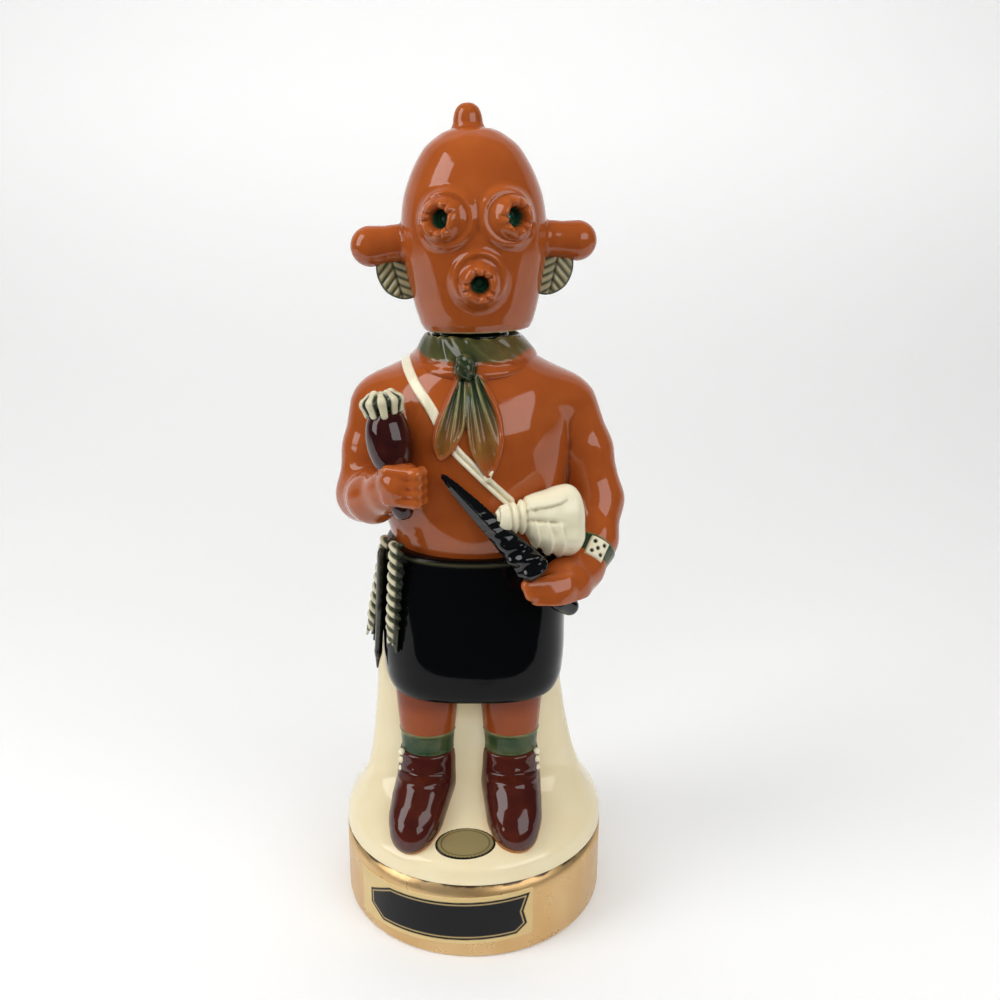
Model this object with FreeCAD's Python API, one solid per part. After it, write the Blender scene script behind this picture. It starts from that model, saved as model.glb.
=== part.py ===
import FreeCAD, Part
import math
import os

V = FreeCAD.Vector

# Figural decanter in glazed china: a masked dancer standing on a round plinth.
# Millimetres, +Z up, the dancer faces -Y, the origin is the middle of the foot.

# Clay and clearances
clay_wall = 5.0
glaze_gap = 0.3
running_gap = 0.05
overrun = 1.0
paper = 0.4

# Plinth
plinth_radius = 54.0
plinth_height = 33.0
plinth_floor = 5.0
plinth_edge = 1.5

# Mound that rises from the plinth behind the legs
hem_height = 63.5
rise_height = 17.5
mound_half_width = 42.0
mound_front = 20.0
mound_back = 38.0
throat_half_width = 24.0
throat_front = 9.0
throat_back = 22.0

# Kilt
kilt_height = 60.5
kilt_half_width = 36.6
kilt_front = 35.0
kilt_back = 31.0

# Torso and neck
torso_height = 70.5
chest_half_width = 37.5
chest_front = 32.5
chest_back = 29.0
neck_height = 7.7
neck_radius = 13.0
bore_radius = 9.5

# Arms and hands
arm_radius = 11.0
finger_radius = 2.4
palm_radius = 8.4
guard_length = 10.5
guard_thickness = 1.0
plaque_size = 8.0
plaque_thickness = 1.2

# Scarf, strap and bag
collar_height = 11.0
collar_radius = 23.6
collar_top_radius = 19.6
knot_radius = 4.6
tail_thickness = 2.0
strap_width = 3.8
strap_thickness = 1.4
bag_length = 31.5
bag_radius = 13.2
bag_depth = 9.0

# Rattle and whip
gourd_radius = 8.3
gourd_height = 20.0
tuft_radius = 7.4
tuft_height = 8.5
handle_radius = 3.4
handle_length = 18.5
whip_width = 5.2
whip_thickness = 3.6
grip_radius = 5.6
butt_radius = 4.4

# Sash cords and belt end at the right hip
cord_radius = 3.0
cord_length = 46.0
belt_width = 7.0
belt_thickness = 2.4
belt_length = 50.0

# Legs and boots
stance = 16.6
stance_shift = -2.0
leg_half_width = 11.9
leg_depth = 11.0
leg_centre_y = -17.0
garter_height = 10.1
boot_height = 39.4
boot_length = 31.0
boot_half_width = 10.6
boot_depth = 10.5
right_toe_turn_deg = -11.0
left_toe_turn_deg = 4.0
bead_radius = 1.2
bead_rise = 1.0

# Head stopper
head_turn_deg = 3.0
head_lean_deg = 2.8
head_height = 70.6
head_radius = 26.9
head_wall = 4.5
socket_depth = 12.0
socket_wall = 4.5
knob_radius = 5.5
knob_height = 7.8
ear_radius = 7.5
ear_length = 19.5
feather_length = 15.0
feather_thickness = 4.0
eye_ring_radius = 10.2
eye_hole_radius = 3.3
mouth_ring_radius = 9.8
mouth_hole_radius = 3.7
ring_height = 4.6
eye_turn_deg = 26.0
eye_splay_deg = 5.0
crimp_count = 9
cork_length = 22.0
cork_chamfer = 1.5

# Paper label and foil seal
label_width = 70.0
label_height = 21.0
label_corner = 3.0
label_turn_deg = -15.3
label_tilt_deg = -2.5
seal_width = 23.4
seal_depth = 12.6
seal_shift = -3.4

# Heights of the stacked castings
mound_z = plinth_height
hem_z = mound_z + hem_height
torso_z = hem_z + kilt_height
shoulder_z = torso_z + torso_height
neck_top_z = shoulder_z + neck_height
head_pivot_share = 0.436
head_lean = math.sin(math.radians(head_lean_deg))
rim_lift = (neck_radius + head_height * head_pivot_share * head_lean) * head_lean
rim_z = neck_top_z + glaze_gap + rim_lift
crown_z = rim_z + head_height

# Outlines of the castings, as shares of the sizes above
ROUND_WEIGHT = math.sqrt(0.5)
# height of the hem, how far the side, front and back still reach out to the plinth, shift to the right hip
mound_flare_shares = (
    (0.0, 1.0, 1.0, 1.0, 0.0), (0.047, 0.975, 0.988, 0.98, 0.0), (0.11, 0.85, 0.93, 0.89, 0.0),
    (0.173, 0.633, 0.69, 0.7, 0.0), (0.24, 0.41, 0.345, 0.48, 0.0), (0.346, 0.183, 0.1, 0.25, 0.005),
    (0.5, -0.02, 0.02, 0.1, 0.02), (0.898, -0.33, -0.03, -0.06, 0.048),
)
# height of the rise, half width, front, back and shift towards the right hip
rise_shares = (
    (0.5, 0.87, 0.9, 0.96, 0.06), (0.85, 0.84, 0.85, 0.92, 0.07), (1.0, 0.76, 0.7, 0.84, 0.075),
)
# height, half width, depth, and how square the corners are
kilt_shares = (
    (0.0, 0.915, 0.925, 1.5), (0.05, 0.97, 0.975, 1.5), (0.2, 0.995, 1.0, 1.4), (0.45, 1.0, 1.0, 1.2),
    (0.7, 0.99, 0.97, 1.0), (0.9, 0.955, 0.93, 0.85), (1.0, 0.91, 0.885, 0.8),
)
# height, half width, front, back
torso_shares = (
    (0.0, 0.867, 0.908, 0.9), (0.113, 0.92, 0.954, 0.95), (0.27, 0.96, 0.985, 0.98),
    (0.44, 0.987, 1.0, 1.0), (0.603, 1.0, 0.985, 1.0), (0.716, 1.0, 0.923, 0.966),
    (0.816, 0.98, 0.846, 0.897), (0.887, 0.9, 0.769, 0.828), (0.943, 0.76, 0.692, 0.741),
    (1.0, 0.58, 0.585, 0.638),
)
# height of the head, radius of the head
head_shares = (
    (0.0, 0.729), (0.037, 0.777), (0.136, 0.851), (0.333, 0.959), (0.44, 0.996), (0.555, 0.983),
    (0.657, 0.952), (0.739, 0.9), (0.823, 0.807), (0.905, 0.662), (0.962, 0.442), (1.0, 0.18),
)


def ellipse_wire(centre, side, ahead, side_size, front_size, back_size, corner_weight=ROUND_WEIGHT):
    """A closed outline of four conic arcs about centre: its width lies along side, its front along ahead."""
    right = centre + side * side_size
    front = centre + ahead * front_size
    left = centre - side * side_size
    back = centre - ahead * back_size
    edges = []
    for start, end in ((right, front), (front, left), (left, back), (back, right)):
        arc = Part.BezierCurve()
        arc.setPoles([start, start + end - centre, end])
        arc.setWeight(2, corner_weight)
        edges.append(arc.toShape())
    return Part.Wire(edges)


def smooth_ring(points):
    """A closed smooth outline through points."""
    curve = Part.BSplineCurve()
    curve.interpolate(Points=points, PeriodicFlag=True)
    return Part.Wire(curve.toShape())


def fluted_wire(centre, radius, flutes, flute_share):
    """A closed outline that swells and draws in again round centre."""
    points = []
    for step in range(2 * flutes):
        turn = math.pi * step / flutes
        reach = radius * (1 + flute_share * (-1) ** step)
        points.append(centre + V(reach * math.cos(turn), reach * math.sin(turn), 0))
    return smooth_ring(points)


def level_oval(height, half_width, front, back, corner_weight=ROUND_WEIGHT, shift=0.0):
    """A level outline of a casting, with its front towards -Y."""
    return ellipse_wire(V(shift, 0, height), V(1, 0, 0), V(0, -1, 0), half_width, front, back, corner_weight)


def loft(wires, ruled=False):
    return Part.makeLoft(wires, True, ruled)


def largest(shape):
    return max(shape.Solids, key=lambda solid: solid.Volume)


def sheet(corners):
    """A flat face with straight edges."""
    return Part.Face(Part.makePolygon(corners + corners[:1]))


def rounded_sheet(points):
    """A flat face with one smooth edge through points."""
    return Part.Face(smooth_ring(points))


def turned(points):
    """A solid of revolution about Z from (radius, height) points."""
    return sheet([V(radius, 0, height) for radius, height in points]).revolve(V(0, 0, 0), V(0, 0, 1), 360)


def tube_frames(path):
    """Direction, side and upward vectors at each point of a path."""
    frames = []
    for number, point in enumerate(path):
        before = path[max(number - 1, 0)]
        after = path[min(number + 1, len(path) - 1)]
        along = (after - before).normalize()
        across = along.cross(V(0, 1, 0)) if abs(along.y) < abs(along.z) else along.cross(V(0, 0, 1))
        across.normalize()
        frames.append((along, across, along.cross(across)))
    return frames


ROUND_END_SHARES = ((0.94, 0.34), (0.7, 0.714), (0.36, 0.933))


def limb(path, radii, flat_share=1.0):
    """A tapering limb with rounded ends along a path."""
    frames = tube_frames(path)
    rings = []
    for reach_share, size_share in ROUND_END_SHARES:
        tip = path[0] - frames[0][0] * (radii[0] * reach_share)
        rings.append((tip, radii[0] * size_share, frames[0]))
    rings += list(zip(path, radii, frames))
    for reach_share, size_share in reversed(ROUND_END_SHARES):
        tip = path[-1] + frames[-1][0] * (radii[-1] * reach_share)
        rings.append((tip, radii[-1] * size_share, frames[-1]))
    return loft([
        ellipse_wire(middle, across, up, size, size * flat_share, size * flat_share)
        for middle, size, (along, across, up) in rings
    ])


def spread(path, radii, spans):
    """The same limb with evenly spaced points, on a smooth line through its path."""
    line = Part.BSplineCurve()
    line.interpolate(path)
    points = line.discretize(spans + 1)
    stations = [line.parameter(point) for point in path]
    sizes = []
    for point in points:
        station = line.parameter(point)
        number = max(index for index, value in enumerate(stations[:-1]) if value <= station or index == 0)
        share = (station - stations[number]) / (stations[number + 1] - stations[number])
        sizes.append(radii[number] + (radii[number + 1] - radii[number]) * share)
    return points, sizes


def place(x_share, y_share, z_share):
    """A place on the figure, in shares of the chest's half width, its depth and the torso's height."""
    return V(x_share * chest_half_width, -y_share * chest_front, torso_z + z_share * torso_height)


nodes = {}
seats = {}


def lute(name, shape, filled=None, group=False):
    """Adds a piece, trimmed to lie against every piece that is already there."""
    for seat in seats.values():
        if shape.BoundBox.intersect(seat.BoundBox):
            shape = shape.cut(seat)
    nodes[name] = shape if group else largest(shape)
    seats[name] = filled or nodes[name]


# Plinth: a hollow drum on a flat foot
drum_inner = plinth_radius - clay_wall
plinth = turned([
    (0, 0), (plinth_radius - plinth_edge, 0), (plinth_radius, plinth_edge), (plinth_radius, plinth_height),
    (drum_inner, plinth_height), (drum_inner, plinth_floor), (0, plinth_floor),
])
lute("plinth", plinth, Part.makeCylinder(plinth_radius, plinth_height))


# Kilt: a hollow tube with a floor that overhangs the legs
def kilt_form(inset, low_z, high_z, ruled=False):
    wires = []
    for height_share, width_share, depth_share, square_share in kilt_shares:
        wires.append(level_oval(
            low_z + height_share * (high_z - low_z), kilt_half_width * width_share - inset,
            kilt_front * depth_share - inset, kilt_back * depth_share - inset, square_share))
    return loft(wires, ruled)


kilt_outer = kilt_form(0, hem_z, torso_z)
kilt_hollow = kilt_form(clay_wall, hem_z + clay_wall, torso_z + clay_wall, True)
throat = loft([
    level_oval(hem_z - 2 * clay_wall, throat_half_width, throat_front, throat_back),
    level_oval(hem_z + 2 * clay_wall, throat_half_width, throat_front, throat_back),
])
kilt = kilt_outer.cut(kilt_hollow).cut(throat)
lute("kilt", kilt, kilt_outer)


# Mound: flares into the plinth, with a level step in front for the boots
def mound_wires(inset):
    wires = []
    for height_share, side_share, front_share, back_share, shift_share in mound_flare_shares:
        wires.append(level_oval(
            mound_z + height_share * hem_height - inset,
            mound_half_width + side_share * (plinth_radius - mound_half_width) - inset,
            mound_front + front_share * (plinth_radius - mound_front) - inset,
            mound_back + back_share * (plinth_radius - mound_back) - inset,
            ROUND_WEIGHT, -shift_share * mound_half_width))
    return wires


rise_wires = [
    level_oval(hem_z + height_share * rise_height, mound_half_width * width_share, mound_front * front_share,
               mound_back * back_share, ROUND_WEIGHT, -shift_share * mound_half_width)
    for height_share, width_share, front_share, back_share, shift_share in rise_shares
]
mound_outer = loft(mound_wires(0) + rise_wires)
mound_hollow = loft(mound_wires(clay_wall), True)
mound = mound_outer.cut(kilt_outer).cut(mound_hollow).cut(throat)
lute("mound", mound, mound_outer)


# Torso: a hollow shell up to the shoulders, pierced by the bottle's bore
def torso_form(swell, drop, ruled=False):
    wires = []
    for height_share, width_share, front_share, back_share in torso_shares:
        wires.append(level_oval(
            torso_z + height_share * torso_height - drop, chest_half_width * width_share + swell,
            chest_front * front_share + swell, chest_back * back_share + swell))
    return loft(wires, ruled)


torso_outer = torso_form(0, 0)
torso_hollow = torso_form(-clay_wall, clay_wall, True)
bore = Part.makeCylinder(bore_radius, 3 * clay_wall, V(0, 0, shoulder_z - 2 * clay_wall))
lute("torso", torso_outer.cut(torso_hollow).cut(bore), torso_outer)

neck = turned([
    (bore_radius, shoulder_z), (neck_radius, shoulder_z),
    (neck_radius, neck_top_z), (bore_radius, neck_top_z),
])
lute("neck_finish", neck, Part.makeCylinder(neck_radius, neck_height, V(0, 0, shoulder_z)))

# Legs, garters and boots, mirrored about the stance
leg_shares = ((0.0, 0.9), (0.5, 0.96), (1.0, 1.02))
garter_shares = ((0.0, 0.88), (0.5, 0.91), (1.0, 0.93))
# reach, drop, width and depth of each section of a boot, from the ankle to the toe
boot_shares = (
    (0.0, 0.0, 1.0, 1.0), (0.05, 0.2, 1.02, 1.05), (0.21, 0.405, 1.0, 0.95), (0.44, 0.5475, 0.93, 0.76),
    (0.69, 0.65, 0.8, 0.57), (0.9, 0.705, 0.6, 0.38), (1.0, 0.73, 0.28, 0.19),
)
boot_tilts_deg = (0.0, 12.0, 35.0, 55.0, 65.0, 70.0, 75.0)
leg_low_z = mound_z + boot_height
garter_z = leg_low_z + garter_height
bead_drop_shares = (0.06, 0.15, 0.24)
bead_front_share = 0.3
bead_edge_share = 0.6


def leg_column(centre_x, low_z, high_z, column_shares):
    wires = []
    for height_share, size_share in column_shares:
        middle = V(centre_x, leg_centre_y, low_z + height_share * (high_z - low_z))
        depth = leg_depth * size_share
        wires.append(ellipse_wire(middle, V(1, 0, 0), V(0, -1, 0), leg_half_width * size_share, depth, depth))
    return loft(wires)


def boot(centre_x, turn_deg):
    wires = []
    for (reach_share, drop_share, width_share, depth_share), tilt_deg in zip(boot_shares, boot_tilts_deg):
        tilt = math.radians(tilt_deg)
        middle = V(centre_x, leg_centre_y - reach_share * boot_length, leg_low_z - drop_share * boot_height)
        ahead = V(0, -math.cos(tilt), math.sin(tilt))
        depth = boot_depth * depth_share
        wires.append(ellipse_wire(middle, V(1, 0, 0), ahead, boot_half_width * width_share, depth, depth))
    shape = loft(wires)
    shape.rotate(V(centre_x, leg_centre_y, 0), V(0, 0, 1), turn_deg)
    return shape


def beads(centre_x, side):
    """Round-edged beads that stand out of the outer side of a boot's shaft."""
    bead_y = leg_centre_y - boot_depth * bead_front_share
    bead_length = boot_half_width + bead_rise
    row = []
    for drop_share in bead_drop_shares:
        root = V(centre_x, bead_y, leg_low_z - drop_share * boot_height)
        bead = Part.makeCylinder(bead_radius, bead_length, root, V(side, 0, 0))
        tip = max(bead.Edges, key=lambda edge: side * edge.CenterOfMass.x)
        row.append(bead.makeFillet(bead_radius * bead_edge_share, [tip]))
    return Part.makeCompound(row)


for side, name, toe_turn_deg in ((-1, "right", right_toe_turn_deg), (1, "left", left_toe_turn_deg)):
    leg_x = stance_shift + side * stance
    lute("leg_" + name, leg_column(leg_x, garter_z, hem_z, leg_shares))
    lute("garter_" + name, leg_column(leg_x, leg_low_z, garter_z, garter_shares))
    lute("boot_" + name, boot(leg_x, toe_turn_deg))
    lute("boot_beads_" + name, beads(leg_x, side), group=True)

# Arms: an upper arm and a forearm luted at the elbow, as places on the figure and shares of the arm's radius
right_arm_shares = (
    ((-0.95, 0.0, 0.695, 1.09), (-1.053, 0.03, 0.468, 0.94), (-1.128, 0.185, 0.231, 0.92)),
    ((-1.128, 0.185, 0.231, 0.9), (-1.0, 0.585, 0.27, 0.81), (-0.81, 0.955, 0.355, 0.66)),
)
left_arm_shares = (
    ((0.95, 0.0, 0.695, 1.09), (1.133, 0.03, 0.468, 0.95), (1.267, 0.123, 0.199, 0.9)),
    ((1.267, 0.123, 0.199, 0.88), (1.213, 0.43, 0.014, 0.8), (1.093, 0.71, -0.1, 0.68)),
)
ARM_SPANS = 4


def arm(arm_shares):
    spans = []
    for span_shares in arm_shares:
        path = [place(*share[:3]) for share in span_shares]
        spans.append(limb(*spread(path, [arm_radius * share[3] for share in span_shares], ARM_SPANS)))
    return spans[0].fuse(spans[1])


lute("arm_right", arm(right_arm_shares))
lute("arm_left", arm(left_arm_shares))

# Shoulder strap: a band on the chest from the right shoulder to the left hip
strap_high_share = (-0.71, 0, 0.995)
strap_low_share = (0.32, 0, 0.3)
strap_low = place(*strap_low_share)
strap_along = (strap_low - place(*strap_high_share)).normalize()
strap_across = strap_along.cross(V(0, 1, 0)) * (strap_width / 2)
strap_far = strap_low - strap_along * (2 * chest_half_width)
strap_face = sheet([
    strap_far - strap_across, strap_low - strap_across, strap_low + strap_across, strap_far + strap_across,
])
strap_slab = strap_face.extrude(V(0, -2 * chest_front, 0))
strap_skin = torso_form(strap_thickness, 0).cut(torso_outer)
lute("shoulder_strap", strap_slab.common(strap_skin))

# Scarf: a rolled collar, a knot and two tails on the chest
collar_drop_share = 0.155
collar_edge_share = 0.2
collar_top_z = neck_top_z - collar_height * collar_drop_share
collar_low_z = collar_top_z - collar_height
collar_fold_z = collar_top_z - collar_height / 2
collar = turned([
    (neck_radius, collar_low_z), (collar_radius, collar_low_z), (collar_radius, collar_fold_z),
    (collar_top_radius, collar_top_z), (neck_radius, collar_top_z),
])
collar_edges = [
    edge for edge in collar.Edges
    if edge.BoundBox.ZMin > collar_low_z + overrun and edge.BoundBox.XMax > neck_radius + overrun
]
lute("scarf_collar", collar.makeFillet(collar_height * collar_edge_share, collar_edges))
knot_share = (-0.077, 0.8, 0.972)
knot_top_share = 0.9
knot_middle = place(*knot_share)
knot_rise = V(0, 0, knot_radius / 3)
knot_sizes = [knot_radius, knot_radius * knot_top_share]
lute("scarf_knot", limb([knot_middle - knot_rise, knot_middle + knot_rise], knot_sizes))

right_tail_shares = (
    (-0.15, 0.95), (-0.3, 0.78), (-0.385, 0.64), (-0.395, 0.55), (-0.32, 0.51), (-0.16, 0.57), (-0.085, 0.8),
)
left_tail_shares = (
    (-0.01, 0.95), (0.16, 0.77), (0.26, 0.62), (0.23, 0.49), (0.145, 0.43), (-0.02, 0.57), (-0.07, 0.8),
)
chest_skin = torso_form(tail_thickness, 0).cut(torso_outer)


def tail(tail_shares):
    """A tail of cloth: its outline pressed onto the front of the chest."""
    outline = rounded_sheet([place(x_share, 0, z_share) for x_share, z_share in tail_shares])
    return outline.extrude(V(0, -2 * chest_front, 0)).common(chest_skin)


lute("scarf_tail_right", tail(right_tail_shares))
lute("scarf_tail_left", tail(left_tail_shares))

# Right hand with the rattle: the fingers close round the handle
rattle_low_share = (-0.655, 1.09, 0.215)
rattle_high_share = (-0.86, 0.97, 0.81)
rattle_low = place(*rattle_low_share)
rattle_axis = (place(*rattle_high_share) - rattle_low).normalize()
rattle_turn = FreeCAD.Rotation(V(0, 0, 1), rattle_axis)
handle_shares = ((0.0, 1.0), (0.12, 1.25), (0.26, 1.0), (1.0, 0.9))
gourd_shares = ((0.0, 0.62), (0.12, 0.84), (0.35, 1.0), (0.62, 0.96), (0.85, 0.74), (1.0, 0.5))
tuft_shares = ((0.0, 0.62), (0.3, 0.8), (0.75, 1.0), (1.0, 0.92))
tuft_flutes = 7
tuft_flute_share = 0.09


def along_rattle(shape, distance):
    shape.Placement = FreeCAD.Placement(rattle_low + rattle_axis * distance, rattle_turn)
    return shape


def stacked(stack_shares, height, radius, flutes=0, flute_share=0.0):
    wires = []
    for rise_share, size_share in stack_shares:
        middle = V(0, 0, height * rise_share)
        size = radius * size_share
        if flutes:
            wires.append(fluted_wire(middle, size, flutes, flute_share))
        else:
            wires.append(ellipse_wire(middle, V(1, 0, 0), V(0, -1, 0), size, size, size))
    return loft(wires)


handle = stacked(handle_shares, handle_length, handle_radius)
gourd = stacked(gourd_shares, gourd_height, gourd_radius)
tuft = stacked(tuft_shares, tuft_height, tuft_radius, tuft_flutes, tuft_flute_share)
lute("rattle_handle", along_rattle(handle, 0))
lute("rattle_gourd", along_rattle(gourd, handle_length))
lute("rattle_feathers", along_rattle(tuft, handle_length + gourd_height))

right_wrist_share = (-0.81, 0.955, 0.355)
right_palm_share = (-0.66, 1.12, 0.42)
right_knuckle_share = (-0.8, 1.26)
right_fingertip_share = (-0.52, 1.33)
right_finger_shares = (0.349, 0.397, 0.445, 0.493)
wrist_size_share = 0.9
palm_sizes = [palm_radius * wrist_size_share, palm_radius]
hand_right = limb([place(*right_wrist_share), place(*right_palm_share)], palm_sizes)
for rise_share in right_finger_shares:
    finger = [place(*right_knuckle_share, rise_share), place(*right_fingertip_share, rise_share)]
    hand_right = hand_right.fuse(limb(finger, [finger_radius, finger_radius]))
lute("hand_right", hand_right)

# Left hand with the whip, slanting down across the front
whip_tip_share = (-0.3, 1.02, 0.445)
whip_low_share = (0.62, 1.25, -0.04)
blade_shares = ((0.03, 0.28), (0.25, 0.62), (0.5, 0.9), (0.68, 1.0))
grip_shares = ((0.7, 0.84), (0.78, 1.0), (0.86, 0.92), (0.94, 1.0), (1.02, 0.9))
whip_tip = place(*whip_tip_share)
whip_run = place(*whip_low_share) - whip_tip
whip_along = V(whip_run).normalize()
blade_path = [whip_tip + whip_run * share for share, size_share in blade_shares]
blade_sizes = [whip_width * size_share for share, size_share in blade_shares]
lute("whip_blade", limb(blade_path, blade_sizes, whip_thickness / whip_width))
grip_path = [whip_tip + whip_run * share for share, size_share in grip_shares]
lute("whip_grip", limb(grip_path, [grip_radius * size_share for share, size_share in grip_shares]))

left_palm_shares = ((1.08, 0.72, -0.11), (0.88, 0.98, -0.145), (0.7, 1.15, -0.165))
left_finger_shares = ((0.5, -0.125), (0.48, -0.175), (0.53, -0.22))
left_knuckle_share = (0.37, 1.24, 0.02)
left_fingertip_share = 1.34
hand_left = limb([place(*share) for share in left_palm_shares], palm_sizes + palm_sizes[1:])
for x_share, rise_share in left_finger_shares:
    across_share, front_share, lift_share = left_knuckle_share
    knuckle = place(x_share + across_share, front_share, rise_share + lift_share)
    finger = [knuckle, place(x_share, left_fingertip_share, rise_share)]
    hand_left = hand_left.fuse(limb(finger, [finger_radius, finger_radius]))
lute("hand_left", hand_left)
butt_share = (0.92, 1.08, -0.25)
butt_middle = place(*butt_share)
butt_path = [butt_middle - whip_along * butt_radius, butt_middle + whip_along * (butt_radius / 3)]
lute("whip_butt", limb(butt_path, [butt_radius, butt_radius]))

# Bow guard: a band round the left forearm with a square plaque
guard_place_share = 0.58
guard_taper_share = 0.9
plaque_seat_share = 0.95
plaque_facing_shares = (0.2, -0.92, 0.33)
guard_high = place(*left_arm_shares[1][1][:3])
guard_run = place(*left_arm_shares[1][2][:3]) - guard_high
guard_along = V(guard_run).normalize()
guard_middle = guard_high + guard_run * guard_place_share
guard_radius = arm_radius * left_arm_shares[1][1][3] + guard_thickness
guard_start = guard_middle - guard_along * (guard_length / 2)
guard_end_radius = guard_radius * guard_taper_share
lute("bow_guard", Part.makeCone(guard_radius, guard_end_radius, guard_length, guard_start, guard_along))
plaque_facing = V(*plaque_facing_shares)
plaque_out = (plaque_facing - guard_along * plaque_facing.dot(guard_along)).normalize()
plaque_across = guard_along.cross(plaque_out) * (plaque_size / 2)
plaque_rise = guard_along * (plaque_size / 2)
plaque_face = sheet([
    guard_middle - plaque_rise - plaque_across, guard_middle + plaque_rise - plaque_across,
    guard_middle + plaque_rise + plaque_across, guard_middle - plaque_rise + plaque_across,
])
plaque_reach = guard_radius * plaque_seat_share + plaque_thickness
lute("bow_guard_plaque", plaque_face.extrude(plaque_out * plaque_reach))

# Bag under the left arm: a gathered neck that swells into a sack
bag_neck_share = (0.2, 1.18, 0.22)
bag_end_share = (1.03, 0.84, 0.205)
bag_shares = (
    (0.0, 0.3), (0.06, 0.42), (0.14, 0.46), (0.2, 0.42), (0.28, 0.56), (0.42, 0.78), (0.6, 0.97), (0.76, 1.0),
    (0.9, 0.8), (0.98, 0.45), (1.0, 0.2),
)
bag_neck = place(*bag_neck_share)
bag_along = (place(*bag_end_share) - bag_neck).normalize()
bag_up = bag_along.cross(V(0, 1, 0)).normalize()
bag_out = bag_up.cross(bag_along)
bag_wires = []
for share, size_share in bag_shares:
    middle = bag_neck + bag_along * (bag_length * share)
    depth = bag_depth * size_share
    bag_wires.append(ellipse_wire(middle, bag_up, bag_out, bag_radius * size_share, depth, depth))
lute("bag", loft(bag_wires))

# Sash at the right hip: two twisted cords and the hanging end of the belt, as places on the kilt
twist_count = 6
twist_share = 0.16
cord_taper_share = 0.25
front_cord_shares = ((-0.809, 0.66, 0.0), (-0.86, 0.69, 0.88))
rear_cord_shares = ((-0.994, 0.252, 0.03), (-1.1, 0.18, 0.92))
belt_shares = ((-0.994, 0.446, 0.085), (-1.017, 0.373, 0.54), (-1.04, 0.3, 1.0))
belt_tip_share = 0.67
BELT_SPANS = 6


def on_kilt(hang_shares, length):
    """Places on the kilt, in shares of its half width, its front and the length that hangs from the waist."""
    return [
        V(x_share * kilt_half_width, -y_share * kilt_front, torso_z - drop_share * length)
        for x_share, y_share, drop_share in hang_shares
    ]


def twisted_cord(high, low):
    steps = 2 * twist_count
    path = []
    radii = []
    for step in range(steps + 1):
        share = step / steps
        path.append(high + (low - high) * share)
        radii.append(cord_radius * (1 - cord_taper_share * share ** 4) * (1 + twist_share * (-1) ** step))
    return limb(path, radii)


lute("sash_cord_front", twisted_cord(*on_kilt(front_cord_shares, cord_length)))
lute("sash_cord_rear", twisted_cord(*on_kilt(rear_cord_shares, cord_length)))
belt_sizes = [belt_width / 2, belt_width / 2, belt_width / 2 * belt_tip_share]
belt_path, belt_sizes = spread(on_kilt(belt_shares, belt_length), belt_sizes, BELT_SPANS)
lute("belt_end", limb(belt_path, belt_sizes, 2 * belt_thickness / belt_width))

# Paper label round the plinth and foil seal on the step
label_slab = Part.makeBox(label_width, plinth_radius, label_height,
                          V(-label_width / 2, -3 * plinth_radius / 2, (plinth_height - label_height) / 2))
label_corners = [edge for edge in label_slab.Edges if edge.BoundBox.YLength > overrun]
label_radius = plinth_radius + paper
label_ring = turned([
    (plinth_radius, 0), (label_radius, 0), (label_radius, plinth_height), (plinth_radius, plinth_height),
])
label = label_slab.makeFillet(label_corner, label_corners)
label.rotate(V(0, 0, plinth_height / 2), V(0, 1, 0), label_tilt_deg)
label = label.common(label_ring)
label.rotate(V(0, 0, 0), V(0, 0, 1), label_turn_deg)
lute("front_label", label)
seal_reach_share = 0.8
seal_middle = V(seal_shift, -seal_reach_share * plinth_radius, mound_z)
seal_reach = seal_depth / 2
seal_outline = ellipse_wire(seal_middle, V(1, 0, 0), V(0, -1, 0), seal_width / 2, seal_reach, seal_reach)
seal_skin = loft(mound_wires(0))
seal_skin.translate(V(0, 0, paper))
lute("foil_seal", Part.Face(seal_outline).extrude(V(0, 0, hem_height / 3)).common(seal_skin))

# Head stopper, built upright facing -Y, then leant and turned a little on its upright cork
body_nodes = set(nodes)
seats.clear()
hollow_low_share = 0.136


def head_points(inset, low_share):
    """The head's section from the crown down, as (radius, height) points."""
    return [
        (head_radius * width_share - inset, rim_z + head_height * rise_share - inset)
        for rise_share, width_share in reversed(head_shares)
        if rise_share >= low_share and head_radius * width_share > inset
    ]


def domed(points):
    """A solid of revolution about Z whose side is a smooth line through (radius, height) points."""
    side = Part.BSplineCurve()
    side.interpolate([V(radius, 0, height) for radius, height in points])
    top = V(points[0][0], 0, points[0][1])
    bottom = V(points[-1][0], 0, points[-1][1])
    rest = Part.makePolygon([bottom, V(0, 0, bottom.z), V(0, 0, top.z), top])
    return Part.Face(Part.Wire([side.toShape()] + rest.Edges)).revolve(V(0, 0, 0), V(0, 0, 1), 360)


head_outer = domed(head_points(0, 0))
hollow_points = head_points(head_wall, hollow_low_share)
head_hollow = turned([(0, hollow_points[0][1])] + hollow_points + [(0, hollow_points[-1][1])])
socket_radius = bore_radius
boss = Part.makeCylinder(socket_radius + socket_wall, socket_depth, V(0, 0, rim_z))
lute("head_shell", head_outer.cut(head_hollow.cut(boss)), head_outer)

knob_shares = ((-0.3, 0.85), (0.15, 0.93), (0.5, 1.0), (0.8, 0.82), (0.95, 0.5), (1.0, 0.2))
knob = stacked(knob_shares, knob_height, knob_radius)
knob.translate(V(0, 0, crown_z))
lute("crown_knob", knob)

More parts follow.
